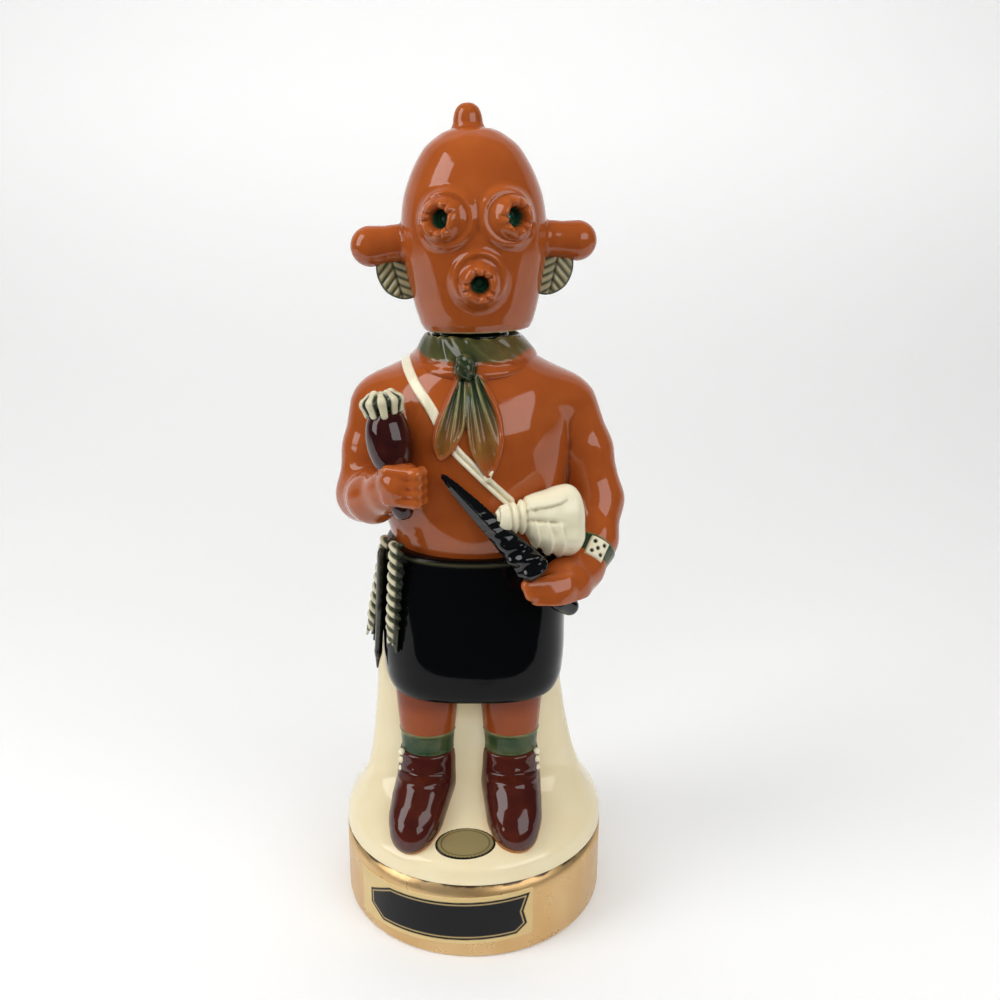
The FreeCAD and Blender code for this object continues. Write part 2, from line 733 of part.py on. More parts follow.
# Ears: a stalk with a bulb at its end, and a flat feather hanging below
ear_rise_share = 0.428
ear_root_share = 0.94
ear_shares = ((0.0, 0.78), (0.3, 0.86), (0.66, 1.0))
feather_drop_share = 0.3
feather_shares = ((-0.3, 0.05), (0.45, 0.15), (0.62, 0.5), (0.4, 0.95), (-0.05, 1.12), (-0.4, 0.8))
ear_z = rim_z + ear_rise_share * head_height
ear_root = head_radius * ear_root_share
feather_z = ear_z - ear_radius * feather_drop_share
for side, name in ((-1, "right"), (1, "left")):
    ear_path = [V(side * (ear_root + ear_length * share), 0, ear_z) for share, size_share in ear_shares]
    lute("ear_" + name, limb(ear_path, [ear_radius * size_share for share, size_share in ear_shares]))
    feather_points = []
    for out_share, down_share in feather_shares:
        feather_x = side * (ear_root + feather_length * out_share)
        feather_points.append(V(feather_x, feather_thickness / 2, feather_z - feather_length * down_share))
    lute("ear_feather_" + name, rounded_sheet(feather_points).extrude(V(0, -feather_thickness, 0)))

# Crimped rings round the eyes and the mouth: rise, radius and depth of the crimps
crater_shares = (
    (-0.9, 1.0, 0.0), (0.1, 0.99, 0.0), (0.5, 0.93, 0.01), (0.82, 0.8, 0.03), (1.0, 0.62, 0.07),
    (0.92, 0.46, 0.09), (0.62, 0.36, 0.06), (0.3, 0.3, 0.0),
)
eye_rise_share = 0.534
eye_seat_share = 0.975
mouth_rise_share = 0.252
mouth_seat_share = 0.93
mouth_tilt_deg = 12.0


def crater(radius, hole_radius):
    wires = []
    for rise_share, size_share, crimp_share in crater_shares:
        size = max(radius * size_share, hole_radius)
        wires.append(fluted_wire(V(0, 0, ring_height * rise_share), size, crimp_count, crimp_share))
    return loft(wires)


def on_face(shape, rise_share, seat_share, turn_deg, tilt_deg, splay_deg=0.0):
    """Stands a crater on the face of the head, pointing outwards."""
    shape.rotate(V(0, 0, 0), V(1, 0, 0), 90 + tilt_deg)
    shape.rotate(V(0, 0, 0), V(0, 0, 1), splay_deg)
    shape.translate(V(0, -head_radius * seat_share, rim_z + rise_share * head_height))
    shape.rotate(V(0, 0, 0), V(0, 0, 1), turn_deg)
    return shape


lute("mouth_ring", on_face(
    crater(mouth_ring_radius, mouth_hole_radius), mouth_rise_share, mouth_seat_share, 0, mouth_tilt_deg))
for side, name in ((-1, "right"), (1, "left")):
    lute("eye_ring_" + name, on_face(
        crater(eye_ring_radius, eye_hole_radius), eye_rise_share, eye_seat_share, side * eye_turn_deg, 0,
        side * eye_splay_deg))
head_pivot = V(0, 0, rim_z + head_height * head_pivot_share)
for name in nodes:
    if name not in body_nodes:
        nodes[name].rotate(V(0, 0, 0), V(0, 0, 1), head_turn_deg)
        nodes[name].rotate(head_pivot, V(0, 1, 0), -head_lean_deg)
socket_height = socket_depth + 2 * overrun
socket = Part.makeCylinder(socket_radius, socket_height, V(0, 0, rim_z - overrun))
nodes["head_shell"] = largest(nodes["head_shell"].cut(socket))

# Cork: a turned plug, partly in the head's socket and partly in the neck
cork_radius = bore_radius - running_gap
cork_top_z = rim_z + socket_depth - overrun
cork_low_z = cork_top_z - cork_length
nodes["cork_plug"] = turned([
    (0, cork_low_z), (cork_radius - cork_chamfer, cork_low_z), (cork_radius, cork_low_z + cork_chamfer),
    (cork_radius, cork_top_z), (0, cork_top_z),
])

os.makedirs("parts", exist_ok=True)
for name, shape in nodes.items():
    shape.exportStep("parts/" + name + ".step")
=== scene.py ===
import math

import bpy
import numpy as np
import openvdb
from bpy.props import FloatProperty, FloatVectorProperty, IntProperty, PointerProperty
from mathutils import Matrix, Vector


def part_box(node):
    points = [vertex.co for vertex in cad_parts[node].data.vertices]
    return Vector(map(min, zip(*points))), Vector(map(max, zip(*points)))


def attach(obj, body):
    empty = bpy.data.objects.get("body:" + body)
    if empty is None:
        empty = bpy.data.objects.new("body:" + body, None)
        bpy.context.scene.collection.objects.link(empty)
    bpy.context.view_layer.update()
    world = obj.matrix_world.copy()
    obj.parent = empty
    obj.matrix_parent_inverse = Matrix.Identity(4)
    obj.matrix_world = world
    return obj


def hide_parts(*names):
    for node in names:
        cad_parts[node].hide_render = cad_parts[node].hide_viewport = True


bl_info = {
    "name": "Dancer Decanter",
    "version": (1, 0, 0),
    "blender": (4, 5, 0),
    "location": "View3D > Sidebar > Decanter",
    "description": "Models and glazes the china of a masked dancer decanter around its packed frame",
    "category": "Object",
}

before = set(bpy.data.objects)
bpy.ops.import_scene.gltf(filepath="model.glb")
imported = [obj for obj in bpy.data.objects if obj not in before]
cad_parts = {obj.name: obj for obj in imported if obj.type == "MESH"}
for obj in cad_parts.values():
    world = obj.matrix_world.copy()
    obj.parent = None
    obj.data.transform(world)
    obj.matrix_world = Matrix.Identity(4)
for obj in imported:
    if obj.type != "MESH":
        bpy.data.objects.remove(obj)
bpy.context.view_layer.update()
PER_METRE = 1000.0


def node_box(node):
    """Lowest and highest corner of a CAD node, in millimetres."""
    low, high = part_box(node)
    return np.array(low) * PER_METRE, np.array(high) * PER_METRE


# Places read from the frame, in millimetres
PLINTH_LOW, PLINTH_HIGH = node_box("plinth")
MOUND_LOW = node_box("mound")[0]
KILT_LOW, KILT_HIGH = node_box("kilt")
TORSO_LOW, TORSO_HIGH = node_box("torso")
NECK_LOW, NECK_HIGH = node_box("neck_finish")
PLINTH_RADIUS = PLINTH_HIGH[0]
CHEST_HALF_WIDTH = TORSO_HIGH[0]
CHEST_FRONT = -TORSO_LOW[1]
CHEST_BACK = TORSO_HIGH[1]
TORSO_HEIGHT = TORSO_HIGH[2] - TORSO_LOW[2]


def srgb(red, green, blue):
    """A display colour, 0 to 255, as the linear colour that a shader takes."""
    linear = [((value / 255 + 0.055) / 1.055) ** 2.4 for value in (red, green, blue)]
    return (*linear, 1.0)


# Settings

def colour(name, description, *display):
    return FloatVectorProperty(
        name=name, description=description, default=srgb(*display), size=4, min=0, max=1, subtype="COLOR")


def reach(name, description, millimetres):
    return FloatProperty(
        name=name, description=description, default=millimetres / PER_METRE,
        min=0, unit="LENGTH", precision=5)


class DecanterSizes(bpy.types.PropertyGroup):
    """Sizes of the modelled relief"""

    grain: reach("Grain", "Spacing of the points that model a fine piece", 0.4)
    body_grain: reach("Body grain", "Spacing of the points that model a large piece", 0.55)
    ring_height: reach("Ring height", "How far the eye and mouth rings stand out", 4.3)
    crimp_depth: reach("Crimp depth", "Depth of the creases in the rings", 1.9)
    crimps: IntProperty(name="Crimps", description="Creases round each ring", default=8, min=3)
    pleat_depth: reach("Pleat depth", "Depth of the pleats in the scarf's tails", 0.75)
    fold_depth: reach("Fold depth", "Depth of the folds in the bag", 1.4)
    finger_radius: reach("Finger radius", "Thickness of the fingers", 2.3)
    cord_pitch: reach("Cord pitch", "Length of one turn of the sash cords", 8.4)


class DecanterGlazes(bpy.types.PropertyGroup):
    """Colours of the glazes and papers"""

    skin: colour("Skin", "Orange-brown glaze", 172, 84, 34)
    skin_thin: colour("Thin skin", "The same glaze where it thins on ridges", 196, 104, 46)
    # This pooled skin colour is also painted on the legs as the kilt's shade
    skin_pool_and_shade: colour("Pooled skin", "The same glaze where it pools", 116, 48, 20)
    cream: colour("Cream", "Cream glaze of the mound", 246, 230, 188)
    cream_pool: colour("Pooled cream", "Cream glaze where it pools", 208, 182, 132)
    ivory: colour("Ivory", "Ivory glaze of the bag and the strap", 248, 240, 208)
    ivory_pool: colour("Pooled ivory", "Ivory glaze in the folds", 196, 180, 132)
    black: colour("Black", "Black glaze of the kilt and the whip", 8, 9, 11)
    black_thin: colour("Thin black", "Black glaze where it breaks on edges", 92, 90, 66)
    green: colour("Green", "Dark green glaze", 40, 66, 40)
    green_thin: colour("Thin green", "Green glaze where it breaks to olive", 140, 134, 84)
    green_pool: colour("Pooled green", "Green glaze where it pools", 24, 40, 26)
    # Amber is also painted on the collar's +X side as a highlight
    amber: colour("Amber", "Amber edge of the painted glazes", 176, 104, 40)
    oxblood: colour("Oxblood", "Dark red-brown glaze", 66, 23, 18)
    oxblood_thin: colour("Thin oxblood", "Oxblood glaze where it breaks on edges", 112, 50, 26)
    maroon: colour("Maroon", "Glaze of the gourd", 50, 16, 16)
    feather: colour("Feather", "Cream brush strokes on the feathers and cords", 214, 206, 170)
    # This dark green is also painted as shade on the cords' side against the kilt
    feather_gap: colour("Feather gap", "Dark green between the strokes", 30, 44, 28)
    gold: colour("Gold", "Fired gold lustre", 220, 186, 134)
    gold_wear: colour("Gold wear", "Dark line where the lustre is worn", 74, 56, 34)
    paper: colour("Paper", "Black label paper", 26, 26, 28)
    paper_edge: colour("Paper edge", "Border of the label", 222, 194, 136)
    foil: colour("Foil", "Gold foil of the seal", 178, 162, 112)
    foil_line: colour("Foil line", "Dark line on the seal", 40, 38, 28)
    cork: colour("Cork", "Natural cork", 176, 132, 84)
    cork_fleck: colour("Cork fleck", "Dark flecks in the cork", 92, 56, 32)
    green_neck: colour("Neck green", "Dark green glaze of the neck", 20, 30, 22)
    green_knot: colour("Knot green", "Green glaze round the knot", 26, 48, 30)
    green_guard: colour("Guard green", "Green glaze of the bow guard", 34, 58, 34)
    maroon_pool: colour("Pooled maroon", "Glaze of the gourd where it pools", 30, 10, 12)
    oxblood_pool: colour("Pooled oxblood", "Oxblood glaze where it pools", 40, 12, 12)
    well: colour("Well", "Green glaze in the middle of the rings", 34, 78, 54)
    bare_clay: colour("Bare clay", "Unglazed rim of the head", 222, 196, 150)
    ear_feather: colour("Ear feather", "Glaze of the feathers under the ears", 168, 162, 120)
    gold_deep: colour("Deep gold", "Gold lustre where it drifts darker", 208, 168, 112)
    cork_pale: colour("Pale cork", "Paler grain of the cork", 198, 158, 108)
    # Painted highlight on the label's ridges
    paper_highlight: colour("Pale paper", "Border of the label on its ridges", 232, 208, 156)
    # Painted light on the seal: a highlight on its ridges and shade in its hollows
    foil_highlight: colour("Thin foil", "Foil on its ridges", 186, 170, 112)
    foil_shade: colour("Foil hollows", "Foil in its hollows", 96, 84, 50)


def sizes():
    return bpy.context.scene.decanter_sizes


def glazes():
    return bpy.context.scene.decanter_glazes


def in_mm(value):
    return value * PER_METRE


def fine_grain(share=1.0):
    return in_mm(sizes().grain) * share


# Fields of distance, in millimetres: below zero inside the clay

def length(*parts):
    return np.sqrt(sum(part * part for part in parts))


def join(first, second, soft=0.0):
    """Both forms, with a soft fillet between them."""
    if np.ndim(soft) == 0 and not soft:
        return np.minimum(first, second)
    share = np.clip(0.5 + 0.5 * (second - first) / soft, 0, 1)
    return second + (first - second) * share - soft * share * (1 - share)


def meet(first, second, soft=0.0):
    """Where both forms are, with a soft edge."""
    return -join(-first, -second, soft)


def carve(form, tool, soft=0.0):
    return meet(form, -tool, soft)


def ramp(value, low, high):
    share = np.clip((value - low) / (high - low), 0, 1)
    return share * share * (3 - 2 * share)


def bump(value, centre, spread):
    return np.exp(-((value - centre) / spread) ** 2)


def bone(p, start, end, start_radius, end_radius):
    """A tapering rod with round ends."""
    offset = [a - b for a, b in zip(p, start)]
    run = [b - a for a, b in zip(start, end)]
    share = sum(a * b for a, b in zip(offset, run)) / sum(a * a for a in run)
    share = np.clip(share, 0, 1)
    gap = length(*(a - b * share for a, b in zip(offset, run)))
    return gap - start_radius - (end_radius - start_radius) * share


def bones(p, joints, soft):
    """Rods through (place, radius) joints, blended into one limb."""
    form = None
    for (start, start_radius), (end, end_radius) in zip(joints, joints[1:]):
        rod = bone(p, start, end, start_radius, end_radius)
        form = rod if form is None else join(form, rod, soft)
    return form


def local(p, origin, along, up):
    """Coordinates along an axis, across it and up from it."""
    along = np.array(along) / np.linalg.norm(along)
    across = np.cross(along, up)
    across = across / np.linalg.norm(across)
    rise = np.cross(across, along)
    offset = [a - b for a, b in zip(p, origin)]
    return tuple(sum(a * b for a, b in zip(offset, axis)) for axis in (along, across, rise))


def egg(q, radii):
    """An ellipsoid about the origin of local coordinates."""
    near = length(*(a / b for a, b in zip(q, radii)))
    steep = length(*(a / (b * b) for a, b in zip(q, radii)))
    return near * (near - 1) / np.maximum(steep, 1e-4)


def eased(value, rows, column):
    """A smooth curve through one column of a table, over its first column."""
    rows = np.array(rows, dtype=np.float32)
    stops = rows[:, 0]
    heights = rows[:, column]
    gaps = np.diff(stops)
    slopes = np.diff(heights) / gaps
    tangents = np.concatenate((slopes[:1], (slopes[:-1] + slopes[1:]) / 2, slopes[-1:]))
    index = np.clip(np.searchsorted(stops, value) - 1, 0, len(stops) - 2)
    share = np.clip((value - stops[index]) / gaps[index], 0, 1)
    turn = share * share * (3 - 2 * share)
    return (heights[index] * (1 - turn) + heights[index + 1] * turn
            + gaps[index] * (tangents[index] * share * (1 - share) ** 2
                             - tangents[index + 1] * share * share * (1 - share)))


def oval(p, half_width, front, back, squareness=2.0):
    """Distance to a level oval whose front is towards -Y."""
    x, y = p[:2]
    depth = np.where(y < 0, front, back)
    near = (np.abs(x / half_width) ** squareness + np.abs(y / depth) ** squareness) ** (1 / squareness)
    reach_out = length(x, y)
    return (near - 1) * (reach_out + 1e-3) / (near + 1e-3)


def smooth_line(points, spans=8):
    """Points on a smooth line through points."""
    points = np.array(points, dtype=np.float64)
    padded = np.concatenate((2 * points[:1] - points[1:2], points, 2 * points[-1:] - points[-2:-1]))
    line = []
    for before, start, end, after in zip(padded, padded[1:], padded[2:], padded[3:]):
        for share in np.arange(spans) / spans:
            line.append(0.5 * (2 * start + (end - before) * share
                               + (2 * before - 5 * start + 4 * end - after) * share ** 2
                               + (3 * start - before - 3 * end + after) * share ** 3))
    line.append(points[-1])
    return np.array(line)


TURN_GRAIN = 0.2
TURN_MARGIN = 6.0


def turned(radius, height, outline):
    """Distance to a form turned about an axis, from a closed outline of (radius, height) points."""
    outline = np.array(outline, dtype=np.float32)
    low = outline.min(0) - TURN_MARGIN
    count = np.ceil((outline.max(0) + TURN_MARGIN - low) / TURN_GRAIN).astype(int) + 1
    across = low[0] + TURN_GRAIN * np.arange(count[0], dtype=np.float32)[:, None]
    up = low[1] + TURN_GRAIN * np.arange(count[1], dtype=np.float32)[None, :]
    nearest = np.full((count[0], count[1]), 1e3, dtype=np.float32)
    inside = np.zeros((count[0], count[1]), dtype=bool)
    for start, end in zip(outline, np.roll(outline, -1, axis=0)):
        run = end - start
        share = ((across - start[0]) * run[0] + (up - start[1]) * run[1]) / max(run @ run, 1e-9)
        share = np.clip(share, 0, 1)
        gap = length(across - start[0] - share * run[0], up - start[1] - share * run[1])
        if max(start[0], end[0]) > 1e-6:
            nearest = np.minimum(nearest, gap)
        if start[1] != end[1]:
            crosses = (start[1] > up) != (end[1] > up)
            inside ^= crosses & (across < start[0] + (up - start[1]) * run[0] / run[1])
    table = np.where(inside, -nearest, nearest)
    column = np.clip((np.abs(radius) - low[0]) / TURN_GRAIN, 0, count[0] - 1.01)
    row = np.clip((height - low[1]) / TURN_GRAIN, 0, count[1] - 1.01)
    column, row = np.broadcast_arrays(column, row)
    left = column.astype(np.int32)
    under = row.astype(np.int32)
    over = (column - left).astype(np.float32)
    above = (row - under).astype(np.float32)
    return ((table[left, under] * (1 - over) + table[left + 1, under] * over) * (1 - above)
            + (table[left, under + 1] * (1 - over) + table[left + 1, under + 1] * over) * above)


# Meshes from fields

FIELD_BAND = 3.0
RELIEF_ROUNDS = 8
RELIEF_DEPTH = 0.16


def neighbour_mean(points, links, counts):
    return np.stack([
        np.bincount(links[:, 0], weights=points[links[:, 1], axis], minlength=len(points)) / counts
        for axis in range(3)
    ], axis=1)


def polished(points, links, counts, rounds):
    """The points after rounds of smoothing that keep the form's size."""
    for _ in range(rounds):
        points = points + 0.5 * (neighbour_mean(points, links, counts) - points)
        points = points - 0.52 * (neighbour_mean(points, links, counts) - points)
    return points


def point_normals(points, faces):
    across = points[faces[:, 2]] - points[faces[:, 0]]
    along = points[faces[:, 3]] - points[faces[:, 1]]
    facing = np.cross(across, along)
    total = np.zeros_like(points)
    for corner in range(4):
        for axis in range(3):
            total[:, axis] += np.bincount(faces[:, corner], weights=facing[:, axis], minlength=len(points))
    return total / np.maximum(np.linalg.norm(total, axis=1, keepdims=True), 1e-9)


def keep_large(points, faces):
    """Drops specks: only the largest joined piece of a mesh stays."""
    label = np.arange(len(points))
    while True:
        lowest = label[faces].min(1)
        fresh = label.copy()
        for corner in range(4):
            np.minimum.at(fresh, faces[:, corner], lowest)
        fresh = fresh[fresh]
        if (fresh == label).all():
            break
        label = fresh
    sizes_by_label = np.bincount(label[faces[:, 0]])
    kept = label == sizes_by_label.argmax()
    place = np.cumsum(kept) - 1
    return points[kept], place[faces[kept[faces[:, 0]]]]


def add_mesh(name, points, faces, masks):
    mesh = bpy.data.meshes.new(name)
    mesh.from_pydata((np.array(points) / PER_METRE).tolist(), [], faces)
    for mask, values in masks.items():
        layer = mesh.attributes.new(mask, "FLOAT", "POINT")
        layer.data.foreach_set("value", np.ascontiguousarray(values, dtype=np.float32))
    mesh.polygons.foreach_set("use_smooth", np.ones(len(mesh.polygons), dtype=bool))
    mesh.update()
    piece = bpy.data.objects.new(name, mesh)
    bpy.context.scene.collection.objects.link(piece)
    return piece


def cast(name, field, low, high, grain, paint=None, rounds=3, single=True):
    """A piece whose surface is where a field of distances is zero, with relief and paint as point masks."""
    low = np.array(low, dtype=np.float64)
    axes = [np.arange(a, b + grain, grain, dtype=np.float32) for a, b in zip(low, high)]
    lattice = (axes[0][:, None, None], axes[1][None, :, None], axes[2][None, None, :])
    values = np.broadcast_to(field(lattice), [len(axis) for axis in axes])
    grid = openvdb.FloatGrid(FIELD_BAND)
    grid.copyFromArray(np.ascontiguousarray(np.clip(values, -FIELD_BAND, FIELD_BAND), dtype=np.float32))
    points, faces = grid.convertToQuads(0.0)
    points = low + points.astype(np.float64) * grain
    faces = faces.astype(np.int64)
    if not len(faces):
        raise RuntimeError(name + " has no surface")
    if single:
        points, faces = keep_large(points, faces)
    outward = point_normals(points, faces)
    if (outward * points).sum() < (outward * points.mean(0)).sum():
        faces = faces[:, ::-1]
    links = np.concatenate([faces[:, (corner, (corner + 1) % 4)] for corner in range(4)])
    links = np.unique(np.concatenate((links, links[:, ::-1])), axis=0)
    counts = np.bincount(links[:, 0], minlength=len(points))
    points = polished(points, links, counts, rounds)
    outward = point_normals(points, faces)
    worn = points
    for _ in range(RELIEF_ROUNDS):
        worn = worn + 0.5 * (neighbour_mean(worn, links, counts) - worn)
    relief = ((points - worn) * outward).sum(1) / RELIEF_DEPTH
    for _ in range(2):
        around = np.bincount(links[:, 0], weights=relief[links[:, 1]], minlength=len(points)) / counts
        relief = 0.5 * relief + 0.5 * around
    masks = {"relief": np.clip(relief, -1, 1)}
    p = tuple(points[:, axis] for axis in range(3))
    for mask, function in (paint or {}).items():
        masks[mask] = np.clip(function(p), 0, 1)
    return add_mesh(name, points, faces.tolist(), masks)


def ring_faces(rings, turns):
    """Quads between neighbouring rings of points."""
    faces = []
    for base in range(0, (rings - 1) * turns, turns):
        for turn in range(turns):
            after = (turn + 1) % turns
            faces.append((base + turn, base + after, base + turns + after, base + turns + turn))
    return faces


def lathe(name, outline, turns):
    """A piece turned about Z from an open outline of (radius, height) points."""
    outline = np.array(outline)
    angles = 2 * math.pi * np.arange(turns) / turns
    points = [
        (radius * math.cos(angle), radius * math.sin(angle), height)
        for radius, height in outline for angle in angles
    ]
    return add_mesh(name, points, ring_faces(len(outline), turns), {})


def dress(piece, material, slot, body, *nodes):
    """Gives a piece its glaze, its place among the bodies and the nodes that it stands for."""
    piece.data.materials.clear()
    piece.data.materials.append(material)
    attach(piece, body)
    if nodes:
        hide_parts(*nodes)
    return piece


# Glazes
GLAZE_IOR = 1.52
FULL_GLOSS = 0.5
SOFT_GLOSS = 0.25
DULL_GLOSS = 0.15


def new_material(name):
    """A material, its node tree and its shader."""
    material = bpy.data.materials.new(name)
    material.use_nodes = True
    return material, material.node_tree, material.node_tree.nodes["Principled BSDF"]


def add_node(tree, kind, **values):
    node = tree.nodes.new(kind)
    for name, value in values.items():
        setattr(node, name, value)
    return node


def feed(tree, socket, value):
    """Sets a socket to a value, or links an output to it."""
    if isinstance(value, bpy.types.NodeSocket):
        tree.links.new(value, socket)
    else:
        socket.default_value = value


def mask_of(tree, name):
    return add_node(tree, "ShaderNodeAttribute", attribute_name=name).outputs["Fac"]


def spread(tree, value, low, high, out_low=0.0, out_high=1.0):
    """A value stretched from one range to another, with soft ends."""
    node = add_node(tree, "ShaderNodeMapRange", interpolation_type="SMOOTHSTEP")
    feed(tree, node.inputs["Value"], value)
    for socket, number in (("From Min", low), ("From Max", high), ("To Min", out_low), ("To Max", out_high)):
        node.inputs[socket].default_value = number
    return node.outputs["Result"]


def work(tree, operation, first, second):
    node = add_node(tree, "ShaderNodeMath", operation=operation)
    feed(tree, node.inputs[0], first)
    feed(tree, node.inputs[1], second)
    return node.outputs[0]


def blended(tree, share, first, second):
    node = add_node(tree, "ShaderNodeMix", data_type="RGBA")
    feed(tree, node.inputs[0], share)
    feed(tree, node.inputs[6], first)
    feed(tree, node.inputs[7], second)
    return node.outputs[2]


def clouds(tree, per_metre, detail=2.0, stretch=(1, 1, 1)):
    place = add_node(tree, "ShaderNodeTexCoord").outputs["Object"]
    mapping = add_node(tree, "ShaderNodeMapping")
    mapping.inputs["Scale"].default_value = [per_metre * share for share in stretch]
    tree.links.new(place, mapping.inputs["Vector"])
    noise = add_node(tree, "ShaderNodeTexNoise")
    noise.inputs["Scale"].default_value = 1.0
    noise.inputs["Detail"].default_value = detail
    tree.links.new(mapping.outputs["Vector"], noise.inputs["Vector"])
    return noise.outputs["Fac"]


def emboss(tree, shader, height, strength, distance, **values):
    """Lets a height bump the surface of a shader."""
    relief = add_node(tree, "ShaderNodeBump", **values)
    relief.inputs["Strength"].default_value = strength
    relief.inputs["Distance"].default_value = distance
    tree.links.new(height, relief.inputs["Height"])
    tree.links.new(relief.outputs["Normal"], shader.inputs["Normal"])


def shared_group(name, inputs, outputs, build):
    """A node group that is built once."""
    if name in bpy.data.node_groups:
        return bpy.data.node_groups[name]
    group = bpy.data.node_groups.new(name, "ShaderNodeTree")
    for socket, kind in inputs:
        group.interface.new_socket(socket, in_out="INPUT", socket_type=kind)
    for socket, kind in outputs:
        group.interface.new_socket(socket, in_out="OUTPUT", socket_type=kind)
    source = group.nodes.new("NodeGroupInput")
    target = group.nodes.new("NodeGroupOutput")
    for socket, value in build(group, source.outputs).items():
        group.links.new(value, target.inputs[socket])
    return group


def flowing_glaze():
    """Glaze that thins on ridges, pools in creases and drifts in colour."""
    def build(group, given):
        relief = mask_of(group, "relief")
        drift = clouds(group, 90.0, 3.0)
        thin = work(group, "MULTIPLY", spread(group, relief, 0.12, 0.95), given["Thinning"])
        pool = work(group, "MULTIPLY", spread(group, relief, -0.08, -0.85), given["Pooling"])
        cast_shade = blended(group, spread(group, drift, 0.35, 0.75, 0.0, 0.3), given["Glaze"], given["Thin"])
        pooled_and_shaded = blended(group, pool, cast_shade, given["Pool"])
        broken = blended(group, thin, pooled_and_shaded, given["Thin"])
        return {"Colour": broken}
    return shared_group(
        "flowing_glaze",
        (("Glaze", "NodeSocketColor"), ("Thin", "NodeSocketColor"), ("Pool", "NodeSocketColor"),
         ("Thinning", "NodeSocketFloat"), ("Pooling", "NodeSocketFloat")),
        (("Colour", "NodeSocketColor"),), build)


def fired_surface():
    """The faint waves of a fired glaze."""
    def build(group, given):
        waves = clouds(group, 60.0, 1.0)
        ripple = clouds(group, 420.0, 2.0)
        height = work(group, "ADD", waves, work(group, "MULTIPLY", ripple, 0.08))
        return {"Height": height, "Roughness": spread(group, ripple, 0.3, 0.7, 0.04, 0.1)}
    return shared_group(
        "fired_surface", (), (("Height", "NodeSocketFloat"), ("Roughness", "NodeSocketFloat")), build)


def place_group(tree, group, **values):
    node = add_node(tree, "ShaderNodeGroup", node_tree=group)
    for socket, value in values.items():
        feed(tree, node.inputs[socket], value)
    return node.outputs


def glaze_material(name, glaze, thin, pool, thinning=0.6, pooling=0.8, coats=(), wave=0.00012,
                   gloss=FULL_GLOSS):
    """A glossy glaze. Each coat is a point mask and the colour painted there."""
    material, tree, shader = new_material(name)
    shade = place_group(
        tree, flowing_glaze(), Glaze=glaze, Thin=thin, Pool=pool, Thinning=thinning, Pooling=pooling)
    shown = shade["Colour"]
    for mask, over in coats:
        shown = blended(tree, mask_of(tree, mask), shown, over)
    surface = place_group(tree, fired_surface())
    emboss(tree, shader, surface["Height"], 0.35, wave)
    tree.links.new(shown, shader.inputs["Base Color"])
    tree.links.new(surface["Roughness"], shader.inputs["Roughness"])
    shader.inputs["IOR"].default_value = GLAZE_IOR
    shader.inputs["Specular IOR Level"].default_value = gloss
    return material


def skin_glaze(name, coats=(), gloss=FULL_GLOSS):
    g = glazes()
    return glaze_material(name, g.skin, g.skin_thin, g.skin_pool_and_shade, 0.55, 0.85, coats, gloss=gloss)


# Plinth

def rounded_corner(centre, radius, start_deg, end_deg, steps=6):
    return [
        (centre[0] + radius * math.cos(math.radians(start_deg + (end_deg - start_deg) * step / steps)),
         centre[1] + radius * math.sin(math.radians(start_deg + (end_deg - start_deg) * step / steps)))
        for step in range(steps + 1)
    ]


FOOT_EDGE = 1.6
PLINTH_TURNS = 192


def gold_material():
    g = glazes()
    material, tree, shader = new_material("gold_lustre")
    place = add_node(tree, "ShaderNodeSeparateXYZ")
    tree.links.new(add_node(tree, "ShaderNodeTexCoord").outputs["Object"], place.inputs[0])
    edge_wander = spread(tree, clouds(tree, 120.0, 4.0), 0.3, 0.7, -0.0012, 0.0004)
    height = work(tree, "ADD", place.outputs["Z"], edge_wander)
    worn_line = spread(tree, height, PLINTH_HIGH[2] / PER_METRE - 0.0016, PLINTH_HIGH[2] / PER_METRE - 0.0004)
    specks = spread(tree, clouds(tree, 380.0, 3.0), 0.77, 0.86)
    specks = work(tree, "MULTIPLY", specks, spread(tree, height, 0.008, 0.031))
    wear = work(tree, "MAXIMUM", worn_line, work(tree, "MULTIPLY", specks, 0.5))
    drift = clouds(tree, 45.0, 2.0, (1, 1, 0.4))
    sheen = blended(tree, spread(tree, drift, 0.3, 0.7), g.gold, g.gold_deep)
    tree.links.new(blended(tree, wear, sheen, g.gold_wear), shader.inputs["Base Color"])
    tree.links.new(spread(tree, wear, 0.0, 1.0, 0.7, 0.3), shader.inputs["Metallic"])
    tree.links.new(spread(tree, clouds(tree, 160.0, 3.0), 0.3, 0.7, 0.26, 0.38), shader.inputs["Roughness"])
    emboss(tree, shader, clouds(tree, 55.0, 2.0), 0.3, 0.0003)
    return material


class DECANTER_OT_plinth(bpy.types.Operator):
    """Turn the plinth with its gold band"""

    bl_idname = "decanter.plinth"
    bl_label = "Plinth"

    def execute(self, context):
        top = PLINTH_HIGH[2]
        outline = [(0, 0)]
        outline += rounded_corner((PLINTH_RADIUS - FOOT_EDGE, FOOT_EDGE), FOOT_EDGE, -90, 0)
        outline += [(PLINTH_RADIUS, top * share) for share in (0.25, 0.5, 0.75, 1.0)]
        outline += [(PLINTH_RADIUS - FOOT_EDGE, top)]
        piece = lathe("plinth_band", outline, PLINTH_TURNS)
        dress(piece, gold_material(), "gold_lustre", "decanter", "plinth")
        return {"FINISHED"}


# Mound
MOUND_HALF_WIDTH = 42.0
MOUND_FRONT = 20.0
MOUND_BACK = 38.0
HEM_HEIGHT = 63.5
